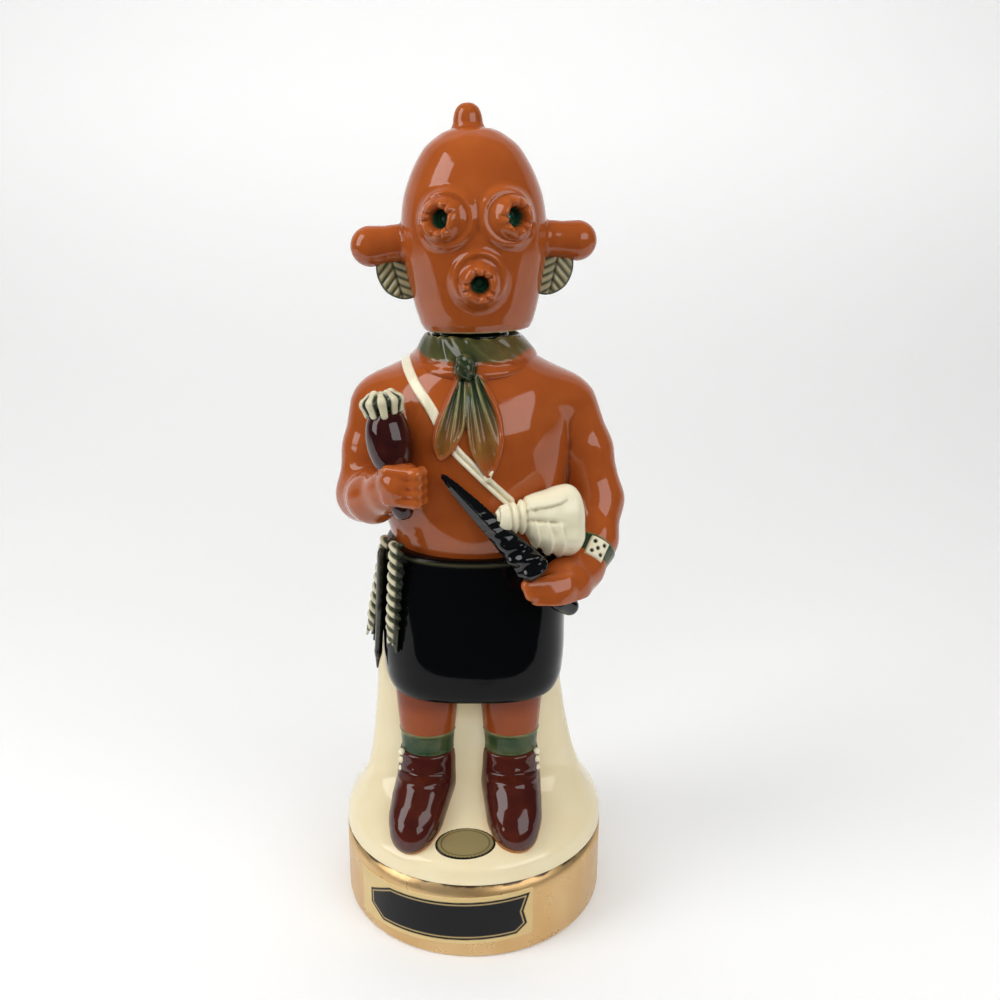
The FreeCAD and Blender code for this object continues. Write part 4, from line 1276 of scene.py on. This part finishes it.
class DECANTER_OT_sash(bpy.types.Operator):
    """Model the twisted cords and the belt's hanging end"""

    bl_idname = "decanter.sash"
    bl_label = "Sash"

    def execute(self, context):
        g = glazes()
        # The dark coat paints shade on each cord's side against the kilt and darkens its grooves
        glaze = glaze_material(
            "cord_glaze", g.feather, g.ivory, g.feather_gap, 0.5, 1.0, (("dark", g.feather_gap),))
        grain = fine_grain(0.8)
        for name, (high, low), node in (
                ("cord_front_china", FRONT_CORD, "sash_cord_front"),
                ("cord_rear_china", REAR_CORD, "sash_cord_rear")):
            corner_low = np.minimum(high, low) - 6
            corner_high = np.maximum(high, low) + 6
            piece = cast(name, lambda p: cord_field(p, high, low), corner_low, corner_high, grain,
                         paint={"dark": lambda p: cord_shade(p, high, low)})
            dress(piece, glaze, "feather_glaze", "decanter", node)

        def belt_field(p):
            x, y, z = p
            flat = [((1.9 * place[0], place[1], place[2]), radius) for place, radius in BELT]
            return 0.6 * bones((1.9 * x, y, z), flat, 1.0)

        belt = cast("belt_china", belt_field, (-46, -22, 97), (-30, -4, 160), fine_grain())
        black = glaze_material("belt_glaze", g.black, g.black_thin, g.black, 0.4, 0.0)
        dress(belt, black, "black_glaze", "decanter", "belt_end")
        return {"FINISHED"}


# Legs, garters and boots
STANCE = 16.6
STANCE_SHIFT = -2.0
LEG_HALF_WIDTH = 11.9
LEG_DEPTH = 11.0
LEG_Y = -17.0
LEG_LOW_Z = 71.6
GARTER_Z = 81.2
HEM_Z = KILT_LOW[2]
TOE_TURN_DEG = {-1: -14.0, 1: 4.0}
BOOT_SHAFT = (((0, 0, 73), 10.2), ((0, -0.8, 66), 10.2), ((0, -3.0, 58), 10.4))
BOOT_FOOT = (((0, -3, 57), 10.6), ((0, -11, 53.4), 10.0), ((0, -18, 48.6), 9.2), ((0, -22.8, 45.4), 7.8))
SEAM_Z = 64.0
WELT = 1.8
BEAD_REACH = 10.4
BEAD_Y = -5.2
BEAD_HEIGHTS = (71.4, 67.8, 64.2)
BEAD_RADII = (1.4, 1.4, 1.4)
BEAD_GRAIN = 0.22


def leg_local(p, side):
    """Coordinates of one leg, with its toe straight ahead."""
    x, y, z = p
    turn = math.radians(TOE_TURN_DEG[side])
    dx = x - STANCE_SHIFT - side * STANCE
    dy = y - LEG_Y
    return dx * math.cos(turn) + dy * math.sin(turn), -dx * math.sin(turn) + dy * math.cos(turn), z


def leg_field(p, side):
    x, y, z = leg_local(p, side)
    share = (z - GARTER_Z) / (HEM_Z - GARTER_Z)
    size = 0.94 + 0.11 * np.clip(share, -0.3, 1.3)
    form = oval((x, y, z), LEG_HALF_WIDTH * size, LEG_DEPTH * size, LEG_DEPTH * size)
    return np.maximum(form, np.maximum(GARTER_Z - 2 - z, z - HEM_Z - 3))


def garter_field(p, side):
    x, y, z = leg_local(p, side)
    size = 0.88 + 0.05 * (z - LEG_LOW_Z) / (GARTER_Z - LEG_LOW_Z)
    form = oval((x, y, z), LEG_HALF_WIDTH * size, LEG_DEPTH * size, LEG_DEPTH * size)
    roll = 0.4 * bump(z, GARTER_Z - 0.8, 0.8) + 0.25 * bump(z, LEG_LOW_Z + 0.8, 0.7)
    return meet(meet(form - roll, z - GARTER_Z, 0.8), LEG_LOW_Z - 1 - z)


def boot_field(p, side):
    x, y, z = leg_local(p, side)
    q = (x * 0.95, y, z)
    shaft = meet(bones(q, BOOT_SHAFT, 3.0), z - LEG_LOW_Z - 0.2, 0.8)
    form = join(shaft, bones(q, BOOT_FOOT, 4.0), 4.0)
    seam = z - SEAM_Z + 0.012 * x * x
    front = ramp(y, -7, -11)
    form = form - (0.5 * bump(seam, -0.6, 0.9) - 0.35 * bump(seam, 1.2, 0.7)) * front
    return np.maximum(form, 36 - z)


class DECANTER_OT_legs(bpy.types.Operator):
    """Model the legs, the garters and the boots with their beads"""

    bl_idname = "decanter.legs"
    bl_label = "Legs and boots"

    def execute(self, context):
        g = glazes()
        grain = fine_grain()
        # Painted shade: the legs take a coat of the pooled skin colour for the kilt's shadow
        skin = skin_glaze("leg_glaze", (("pooled_and_shaded", g.skin_pool_and_shade),), SOFT_GLOSS)
        green = glaze_material(
            "garter_glaze", g.green, g.green_thin, g.green_pool, 0.7, 0.9, gloss=SOFT_GLOSS)
        oxblood = glaze_material(
            "oxblood_glaze", g.oxblood, g.oxblood_thin, g.oxblood_pool, 0.3, 0.5, (("edge", g.amber),))
        cream = glaze_material("bead_glaze", g.ivory, g.ivory, g.ivory_pool)
        for side, name in ((-1, "right"), (1, "left")):
            middle = STANCE_SHIFT + side * STANCE
            low = np.array((middle - 16, LEG_Y - 34, 36))
            high = np.array((middle + 16, LEG_Y + 14, HEM_Z + 4))
            # Painted shade: darker all over the legs and most just under the kilt's hem, where its shadow
            # falls
            leg = cast("leg_china_" + name, lambda p: leg_field(p, side), (low[0], low[1], 78), high, grain,
                       paint={"pooled_and_shaded": lambda p: 0.4 + 0.45 * ramp(p[2], HEM_Z - 9, HEM_Z - 1)})
            dress(leg, skin, "skin_glaze", "decanter", "leg_" + name)
            garter = cast(
                "garter_china_" + name, lambda p: garter_field(p, side),
                (low[0], low[1], 69), (high[0], high[1], 86), grain)
            dress(garter, green, "green_glaze", "decanter", "garter_" + name)
            boot = cast(
                "boot_china_" + name, lambda p: boot_field(p, side), low, (high[0], high[1], 77), grain,
                paint={"edge": lambda p: 0.95 * ramp(mound_field((p[0], p[1], p[2] - WELT)), 0.8, -0.8)})
            dress(boot, oxblood, "oxblood_glaze", "decanter", "boot_" + name)
            bead_x = middle + side * BEAD_REACH
            bead_y = LEG_Y + BEAD_Y

            def bead_field(p):
                rows = [
                    egg((p[0] - bead_x, p[1] - bead_y, p[2] - height), BEAD_RADII) for height in BEAD_HEIGHTS]
                return np.minimum.reduce(rows)

            beads = cast(
                "bead_china_" + name, bead_field, (bead_x - 3, bead_y - 3, BEAD_HEIGHTS[-1] - 3),
                (bead_x + 3, bead_y + 3, BEAD_HEIGHTS[0] + 3), BEAD_GRAIN, rounds=2, single=False)
            dress(beads, cream, "cream_glaze", "decanter", "boot_beads_" + name)
        return {"FINISHED"}


# Head stopper
HEAD_RADIUS = 26.9
HEAD_HEIGHT = 70.6
RIM_Z = NECK_HIGH[2] + 1.0
CROWN_Z = RIM_Z + HEAD_HEIGHT
HEAD_PIVOT_Z = RIM_Z + 30.8
HEAD_TURN_DEG = 3.0
HEAD_LEAN_DEG = 2.0
RIM_EDGE = 1.3
# height and radius
HEAD_SHARES = (
    (0.037, 0.777), (0.136, 0.851), (0.333, 0.957), (0.44, 0.988), (0.555, 0.978),
    (0.657, 0.938), (0.739, 0.868), (0.823, 0.765), (0.905, 0.62), (0.962, 0.43), (0.985, 0.3),
)
KNOB_SHIFT = -0.9
KNOB_OUTLINE = (
    (0.0, -2.0), (5.8, -1.4), (5.7, 0.3), (5.4, 0.9), (5.3, 1.6), (5.1, 3.1), (4.6, 4.9),
    (3.6, 6.5), (2.0, 7.6), (0.0, 7.9),
)
EYE_RISE_SHARE = 0.556
EYE_TURN_DEG = 27.0
EYE_SPLAY_DEG = 4.0
EYE_SEAT = 26.4
MOUTH_RISE_SHARE = 0.262
RING_ROOT = 6.0
RING_RADII = {"eye": 9.8, "mouth": 9.6}
# share of the ring's radius, share of its height
RING_SHARES = (
    (0.0, -0.3), (0.14, -0.35), (0.25, -0.55), (0.29, -0.25), (0.33, 0.45), (0.38, 0.78),
    (0.46, 0.97), (0.55, 1.0), (0.64, 0.88), (0.71, 0.64), (0.77, 0.42), (0.84, 0.3),
    (0.92, 0.2), (1.05, 0.08), (1.18, 0.0), (1.3, 0.0),
)
RIDGE_RADIUS = 9.0
RIDGE_HEIGHT = 1.0
RIDGE_SHIFT = 1.7
EAR_RISE_SHARE = 0.44
EAR = ((19, 6.0, 0.7), (28, 6.1, 0.5), (37.7, 7.3, -0.4))


def head_local(p):
    """Coordinates of the upright head that faces -Y."""
    x, y, z = p
    lean = math.radians(HEAD_LEAN_DEG)
    rise = z - HEAD_PIVOT_Z
    z = HEAD_PIVOT_Z + rise * math.cos(lean) - x * math.sin(lean)
    x = x * math.cos(lean) + rise * math.sin(lean)
    turn = math.radians(HEAD_TURN_DEG)
    return x * math.cos(turn) + y * math.sin(turn), -x * math.sin(turn) + y * math.cos(turn), z


def ring_places():
    """Kind, root, facing, phase of the crimps and shift of the outer ridge of each ring."""
    place_turn = math.radians(EYE_TURN_DEG)
    turn = math.radians(EYE_TURN_DEG + EYE_SPLAY_DEG)
    for side in (-1, 1):
        facing = np.array((side * math.sin(turn), -math.cos(turn), 0.0))
        seat = np.array((side * math.sin(place_turn), -math.cos(place_turn), 0.0)) * EYE_SEAT
        seat[2] = RIM_Z + HEAD_HEIGHT * EYE_RISE_SHARE
        yield "eye", seat - RING_ROOT * facing, facing, 0.7 * side, (RIDGE_SHIFT * side, 0.0)
    mouth = np.array((0, -20, RIM_Z + HEAD_HEIGHT * MOUTH_RISE_SHARE))
    yield "mouth", mouth, np.array((0, -0.98, -0.2)), 0.3, (0.0, RIDGE_SHIFT)


def ring_lift(p, kind, middle, facing, phase, shift):
    """How far a crimped ring stands out of the head."""
    ahead, across, up = local(p, middle, facing, (0, 0, 1))
    around = length(across, up)
    turn = np.arctan2(up, across)
    turn = turn + 0.2 * np.sin(3 * turn + phase)
    pucker = np.abs(np.cos(0.5 * sizes().crimps * turn + phase))
    share = around / RING_RADII[kind]
    inner = bump(share, 0.5, 0.21)
    share = share * (1 + 0.07 * (pucker - 0.6) * inner)
    lift = in_mm(sizes().ring_height) * eased(share, RING_SHARES, 1)
    lift = lift + in_mm(sizes().crimp_depth) * (pucker ** 0.4 - 0.85) * inner
    ridge = RIDGE_HEIGHT * bump(length(across - shift[0], up - shift[1]), RIDGE_RADIUS, 1.1)
    return np.where(ahead > -12, lift + ridge * ramp(share, 0.6, 0.85), 0)


def head_field(p):
    p = head_local(p)
    x, y, z = p
    side = [(HEAD_RADIUS * radius, RIM_Z + HEAD_HEIGHT * rise) for rise, radius in HEAD_SHARES]
    knob = [(radius, CROWN_Z + rise) for radius, rise in KNOB_OUTLINE]
    edge = (HEAD_RADIUS * 0.745 - RIM_EDGE, RIM_Z + RIM_EDGE)
    outline = [(0, RIM_Z)] + rounded_corner(edge, RIM_EDGE, -90, -10) + smooth_line(side, 8).tolist()
    form = turned(length(x, y), z, outline + [(0, CROWN_Z)])
    form = join(form, turned(length(x - KNOB_SHIFT, y), z, smooth_line(knob, 5)), 0.5)
    form = form - sum(ring_lift(p, *ring) for ring in ring_places())
    ear_z = RIM_Z + HEAD_HEIGHT * EAR_RISE_SHARE
    ear = bones((np.abs(x), y, z), [((out, 0, ear_z + rise), radius) for out, radius, rise in EAR], 2.0)
    return join(form, ear, 1.8)


def well_mask(p):
    p = head_local(p)
    masks = []
    for kind, middle, facing, *_ in ring_places():
        ahead, across, up = local(p, middle, facing, (0, 0, 1))
        around = length(across, up)
        masks.append(np.where(ahead > 0, ramp(around, RING_RADII[kind] * 0.34, RING_RADII[kind] * 0.3), 0))
    return np.maximum.reduce(masks)


class DECANTER_OT_head(bpy.types.Operator):
    """Model the head stopper with its crimped eyes and mouth"""

    bl_idname = "decanter.head"
    bl_label = "Head"

    def execute(self, context):
        g = glazes()
        piece = cast(
            "head_china", head_field, (-50, -38, RIM_Z - 3), (50, 30, CROWN_Z + 10),
            fine_grain(1.1),
            paint={"wells": well_mask, "bare": lambda p: ramp(head_local(p)[2], RIM_Z + 0.75, RIM_Z + 0.35)})
        glaze = skin_glaze("head_glaze", (("wells", g.well), ("bare", g.bare_clay)))
        dress(piece, glaze, "skin_glaze", "head", "head_shell", "crown_knob", "ear_right", "ear_left",
              "eye_ring_right", "eye_ring_left", "mouth_ring")
        return {"FINISHED"}


# Feathers under the ears
FEATHER_OUTLINE = ((20.5, 263.5), (34.0, 263.0), (36.2, 257.5), (33.0, 250.5), (26.0, 247.6), (20.5, 251.0))
FEATHER_RIB = ((31.0, 264.0), (26.5, 246.5))
FEATHER_HALF = 2.0
BARB_PITCH = 3.2


def feather_barbs(x, z):
    """Herringbone waves on both sides of the rib."""
    rib = np.subtract(FEATHER_RIB[1], FEATHER_RIB[0])
    rib = rib / np.linalg.norm(rib)
    along = (x - FEATHER_RIB[0][0]) * rib[0] + (z - FEATHER_RIB[0][1]) * rib[1]
    across = (x - FEATHER_RIB[0][0]) * rib[1] - (z - FEATHER_RIB[0][1]) * rib[0]
    return np.cos(2 * math.pi * (along - 0.75 * np.abs(across)) / BARB_PITCH), np.abs(across)


def feather_field(p, side):
    x, y, z = head_local(p)
    x = x * side
    barbs, from_rib = feather_barbs(x, z)
    gap = outline_gap(x, z, FEATHER_OUTLINE)
    thick = FEATHER_HALF + 0.35 * barbs * ramp(gap, -0.2, -1.2) - 0.5 * bump(from_rib, 0, 0.5)
    return meet(gap, np.abs(y) - thick, 1.2)


def feather_gaps(p, side):
    x, _, z = head_local(p)
    barbs, from_rib = feather_barbs(x * side, z)
    rim = ramp(outline_gap(x * side, z, FEATHER_OUTLINE), -1.3, -0.4)
    return np.maximum.reduce([0.7 * ramp(barbs, 0.1, -0.8), 0.8 * bump(from_rib, 0, 0.5), 0.9 * rim])


class DECANTER_OT_feathers(bpy.types.Operator):
    """Model the feathers under the ears"""

    bl_idname = "decanter.feathers"
    bl_label = "Ear feathers"

    def execute(self, context):
        g = glazes()
        glaze = glaze_material(
            "ear_feather_glaze", g.ear_feather, g.feather, g.feather_gap, 0.7, 0.8,
            (("gaps", g.feather_gap),))
        for side, name in ((-1, "right"), (1, "left")):
            low = (18, -5, 245) if side > 0 else (-38, -5, 245)
            high = (38, 5, 268) if side > 0 else (-18, 5, 268)
            piece = cast(
                "feather_china_" + name, lambda p: feather_field(p, side), low, high,
                fine_grain(0.7),
                paint={"gaps": lambda p: feather_gaps(p, side)})
            dress(piece, glaze, "feather_glaze", "head", "ear_feather_" + name)
        return {"FINISHED"}


# Cork
class DECANTER_OT_cork(bpy.types.Operator):
    """Give the cork its grain"""

    bl_idname = "decanter.cork"
    bl_label = "Cork"

    def execute(self, context):
        g = glazes()
        material, tree, shader = new_material("natural_cork")
        flecks = spread(tree, clouds(tree, 700.0, 4.0, (1, 1, 0.5)), 0.56, 0.66)
        tone = spread(tree, clouds(tree, 240.0, 3.0), 0.3, 0.7, 0.0, 0.5)
        base = blended(tree, tone, g.cork, g.cork_pale)
        tree.links.new(blended(tree, flecks, base, g.cork_fleck), shader.inputs["Base Color"])
        shader.inputs["Roughness"].default_value = 0.85
        emboss(tree, shader, flecks, 0.7, 0.0003, invert=True)
        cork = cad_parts["cork_plug"]
        cork.data.materials.clear()
        cork.data.materials.append(material)
        return {"FINISHED"}


# Label and seal
LABEL_TURN_DEG = -15.3
LABEL_WIDTH = 76.0
LABEL_HEIGHT = 21.0
LABEL_SLOPE = 0.044
LABEL_LIFT = 0.35
LABEL_GRAIN = 0.3
# corners of the black panel, along the label and up it
PANEL = (
    (-32.0, -3.2), (-32.0, 3.4), (-21.0, 8.4), (36.4, 8.6), (33.8, 1.0), (35.4, -5.0),
    (31.0, -8.6), (-25.0, -8.4),
)
SEAL_MIDDLE = (-3.4, -43.2)
SEAL_RADII = (11.7, 6.3)
SEAL_TEETH = 44
SEAL_GRAIN = 0.25


def label_place(p):
    """Places along the label and up it."""
    x, y, z = p
    turn = math.radians(LABEL_TURN_DEG)
    side = x * math.cos(turn) + y * math.sin(turn)
    ahead = x * math.sin(turn) - y * math.cos(turn)
    along = np.arctan2(side, ahead) * PLINTH_RADIUS
    return along, z - (PLINTH_LOW[2] + PLINTH_HIGH[2]) / 2 - LABEL_SLOPE * along


class DECANTER_OT_labels(bpy.types.Operator):
    """Lay the paper label and the foil seal, both without lettering"""

    bl_idname = "decanter.labels"
    bl_label = "Label and seal"

    def execute(self, context):
        g = glazes()

        def label_field(p):
            along, rise = label_place(p)
            sheet = meet(np.abs(along) - LABEL_WIDTH / 2, np.abs(rise) - LABEL_HEIGHT / 2, 1.0)
            return np.maximum(meet(np.abs(length(p[0], p[1]) - PLINTH_RADIUS) - LABEL_LIFT, sheet, 0.2), p[1])

        label = cast(
            "label_paper", label_field, (-48, -56, 3), (26, -26, 31), LABEL_GRAIN, rounds=1,
            paint={
                "panel": lambda p: ramp(outline_gap(*label_place(p), PANEL, 1), 0.15, -0.15),
                "rule": lambda p: 0.9 * bump(outline_gap(*label_place(p), PANEL, 1), -1.2, 0.22),
            })
        # Painted highlight: the paper is paler on the label's ridges
        paper = glaze_material("label_paper", g.paper_edge, g.paper_highlight, g.paper_edge, 0.2, 0.2,
                               (("panel", g.paper), ("rule", g.paper_edge)), 0.00004, DULL_GLOSS)
        dress(label, paper, "label_paper", "decanter", "front_label")
        seal_low, seal_high = node_box("foil_seal")

        def seal_share(p):
            return length((p[0] - SEAL_MIDDLE[0]) / SEAL_RADII[0], (p[1] - SEAL_MIDDLE[1]) / SEAL_RADII[1])

        def seal_teeth(p):
            turn = np.arctan2(
                (p[1] - SEAL_MIDDLE[1]) / SEAL_RADII[1], (p[0] - SEAL_MIDDLE[0]) / SEAL_RADII[0])
            return ramp(seal_share(p), 0.9 + 0.03 * np.cos(SEAL_TEETH * turn), 0.94)

        def seal_field(p):
            ground = mound_field(p)
            rim = 0.12 * bump(seal_share(p), 0.9, 0.04)
            return meet((ground - 0.55 - rim) * 0.7, (seal_share(p) - 1) * 7, 0.3)

        seal = cast(
            "seal_foil", seal_field, seal_low - 2, seal_high + 2, SEAL_GRAIN, rounds=2,
            paint={"line": lambda p: np.maximum(0.8 * bump(seal_share(p), 0.8, 0.02), seal_teeth(p))})
        # Painted highlight on the seal's ridges and painted shade in its hollows, through the ridge and
        # crease colours
        foil = glaze_material(
            "seal_foil", g.foil, g.foil_highlight, g.foil_shade, 0.3, 0.3, (("line", g.foil_line),))
        foil.node_tree.nodes["Principled BSDF"].inputs["Metallic"].default_value = 0.4
        dress(seal, foil, "seal_foil", "decanter", "foil_seal")
        return {"FINISHED"}


# Stage
CAMERA_PLACE = (0.0, -359.233, 272.885)
CAMERA_PITCH = 0.2804
CAMERA_YAW = 0.0281
CAMERA_ROLL = 0.0082
FOCAL_PIXELS = 950.0
IMAGE_PIXELS = 1000.0
SWEEP_HALF_WIDTH = 2.6
SWEEP_FRONT = -0.2
SWEEP_RADIUS = 1.2
SWEEP_TOP = (1.56, 3.0)
APRON_FRONT = -0.9
BACKDROP_GLOW = (0.1, 0.34)
ROOM_DARK = (0.05, 0.052, 0.056, 1.0)
ROOM_PALE = (0.8, 0.82, 0.84, 1.0)
BACKDROP = (0.9, 0.9, 0.88, 1.0)


def stage_material(name, shade):
    material, tree, shader = new_material(name)
    shader.inputs["Roughness"].default_value = 0.8
    shader.inputs["Base Color"].default_value = shade
    shader.inputs["Emission Color"].default_value = shade
    path = add_node(tree, "ShaderNodeLightPath")
    seen = work(tree, "MAXIMUM", path.outputs["Is Camera Ray"], path.outputs["Is Glossy Ray"])
    place = add_node(tree, "ShaderNodeSeparateXYZ")
    tree.links.new(add_node(tree, "ShaderNodeTexCoord").outputs["Object"], place.inputs[0])
    glow = spread(tree, place.outputs["Z"], 0.0, 0.5, *BACKDROP_GLOW)
    tree.links.new(work(tree, "MULTIPLY", seen, glow), shader.inputs["Emission Strength"])
    return material


# name, place, target, size and power, and whether the glaze mirrors it
LIGHTS = (
    ("window_left", (-1.0, -0.4, 0.85), (0, 0, 0.22), (0.6, 1.2), 8.0, True),
    ("window_right", (0.8, -0.9, 0.75), (0, 0, 0.22), (1.1, 0.7), 6.0, True),
    ("ceiling", (0.0, 0.0, 1.7), (0, 0, 0), (2.2, 2.0), 18.0, False),
    ("fill", (-0.2, -1.5, 0.9), (0, 0, 0.2), (1.4, 1.0), 6.0, False),
)


def add_sheet(name, points, faces, material):
    mesh = bpy.data.meshes.new(name)
    mesh.from_pydata(points, [], faces)
    mesh.polygons.foreach_set("use_smooth", np.ones(len(faces), dtype=bool))
    mesh.materials.append(material)
    sheet = bpy.data.objects.new(name, mesh)
    bpy.context.scene.collection.objects.link(sheet)
    return sheet


def add_light(name, place, target, size, power, mirrored):
    data = bpy.data.lights.new(name, "AREA")
    data.shape = "RECTANGLE"
    data.size, data.size_y = size
    data.energy = power
    lamp = bpy.data.objects.new(name, data)
    lamp.location = place
    lamp.visible_glossy = mirrored
    lamp.rotation_euler = (Vector(target) - Vector(place)).to_track_quat("-Z", "Y").to_euler()
    bpy.context.scene.collection.objects.link(lamp)


class DECANTER_OT_stage(bpy.types.Operator):
    """Set up the floor, the lights and the camera"""

    bl_idname = "decanter.stage"
    bl_label = "Stage"

    def execute(self, context):
        scene = context.scene
        scene.view_settings.view_transform = "Standard"
        arc = rounded_corner((0.3, SWEEP_RADIUS), SWEEP_RADIUS, -90, -8, 48)
        line = [(SWEEP_FRONT, 0.0)] + arc + [SWEEP_TOP]
        points = [(x, y, z) for y, z in line for x in (-SWEEP_HALF_WIDTH, SWEEP_HALF_WIDTH)]
        faces = [(2 * row, 2 * row + 1, 2 * row + 3, 2 * row + 2) for row in range(len(line) - 1)]
        pale = stage_material("pale_sweep", srgb(246, 246, 245))
        floor = add_sheet("sweep", points, faces, pale)
        # The floor goes on in front of the sweep for the eye alone: the room there is dark in the glaze
        corners = [(side * SWEEP_HALF_WIDTH, y, 0) for y in (APRON_FRONT, SWEEP_FRONT) for side in (-1, 1)]
        apron = add_sheet("apron", corners, [(0, 1, 3, 2)], pale)
        apron.visible_glossy = False
        apron.visible_diffuse = False

        world = scene.world or bpy.data.worlds.new("studio")
        scene.world = world
        world.use_nodes = True
        tree = world.node_tree
        background = tree.nodes["Background"]
        facing = add_node(tree, "ShaderNodeSeparateXYZ")
        tree.links.new(add_node(tree, "ShaderNodeTexCoord").outputs["Generated"], facing.inputs[0])
        behind = spread(tree, facing.outputs["Y"], 0.3, 0.6)
        room = blended(tree, behind, ROOM_DARK, ROOM_PALE)
        seen = add_node(tree, "ShaderNodeLightPath").outputs["Is Camera Ray"]
        tree.links.new(blended(tree, seen, room, BACKDROP), background.inputs["Color"])
        for name, place, target, size, power, mirrored in LIGHTS:
            add_light(name, place, target, size, power, mirrored)

        data = bpy.data.cameras.new("camera")
        data.sensor_width = 36.0
        data.lens = data.sensor_width * FOCAL_PIXELS / IMAGE_PIXELS
        camera = bpy.data.objects.new("camera", data)
        yaw, pitch, roll = CAMERA_YAW, CAMERA_PITCH, CAMERA_ROLL
        ahead = Vector((math.cos(pitch) * math.sin(yaw), math.cos(pitch) * math.cos(yaw), -math.sin(pitch)))
        level = Vector((math.cos(yaw), -math.sin(yaw), 0))
        upward = level.cross(ahead)
        right = math.cos(roll) * level + math.sin(roll) * upward
        up = -math.sin(roll) * level + math.cos(roll) * upward
        turn = Matrix((right, up, -ahead)).transposed()
        camera.matrix_world = Matrix.Translation(Vector(CAMERA_PLACE) / PER_METRE) @ turn.to_4x4()
        scene.collection.objects.link(camera)
        scene.camera = camera
        return {"FINISHED"}


PIECES = (
    DECANTER_OT_plinth, DECANTER_OT_mound, DECANTER_OT_legs, DECANTER_OT_kilt, DECANTER_OT_figure,
    DECANTER_OT_neck, DECANTER_OT_scarf, DECANTER_OT_strap_and_bag, DECANTER_OT_rattle, DECANTER_OT_whip,
    DECANTER_OT_guard, DECANTER_OT_sash, DECANTER_OT_head, DECANTER_OT_feathers, DECANTER_OT_cork,
    DECANTER_OT_labels, DECANTER_OT_stage,
)


class DECANTER_PT_panel(bpy.types.Panel):
    """The decanter's settings and pieces"""

    bl_idname = "DECANTER_PT_panel"
    bl_label = "Dancer decanter"
    bl_space_type = "VIEW_3D"
    bl_region_type = "UI"
    bl_category = "Decanter"

    def draw(self, context):
        for settings in (context.scene.decanter_sizes, context.scene.decanter_glazes):
            column = self.layout.column()
            for name in settings.__annotations__:
                column.prop(settings, name)
        for piece in PIECES:
            self.layout.operator(piece.bl_idname)


CLASSES = (DecanterSizes, DecanterGlazes, *PIECES, DECANTER_PT_panel)


def register():
    for each in CLASSES:
        bpy.utils.register_class(each)
    bpy.types.Scene.decanter_sizes = PointerProperty(type=DecanterSizes)
    bpy.types.Scene.decanter_glazes = PointerProperty(type=DecanterGlazes)


def unregister():
    del bpy.types.Scene.decanter_glazes
    del bpy.types.Scene.decanter_sizes
    for each in reversed(CLASSES):
        bpy.utils.unregister_class(each)


def main():
    register()
    for piece in PIECES:
        group, name = piece.bl_idname.split(".")
        getattr(getattr(bpy.ops, group), name)()


if __name__ == "__main__":
    main()
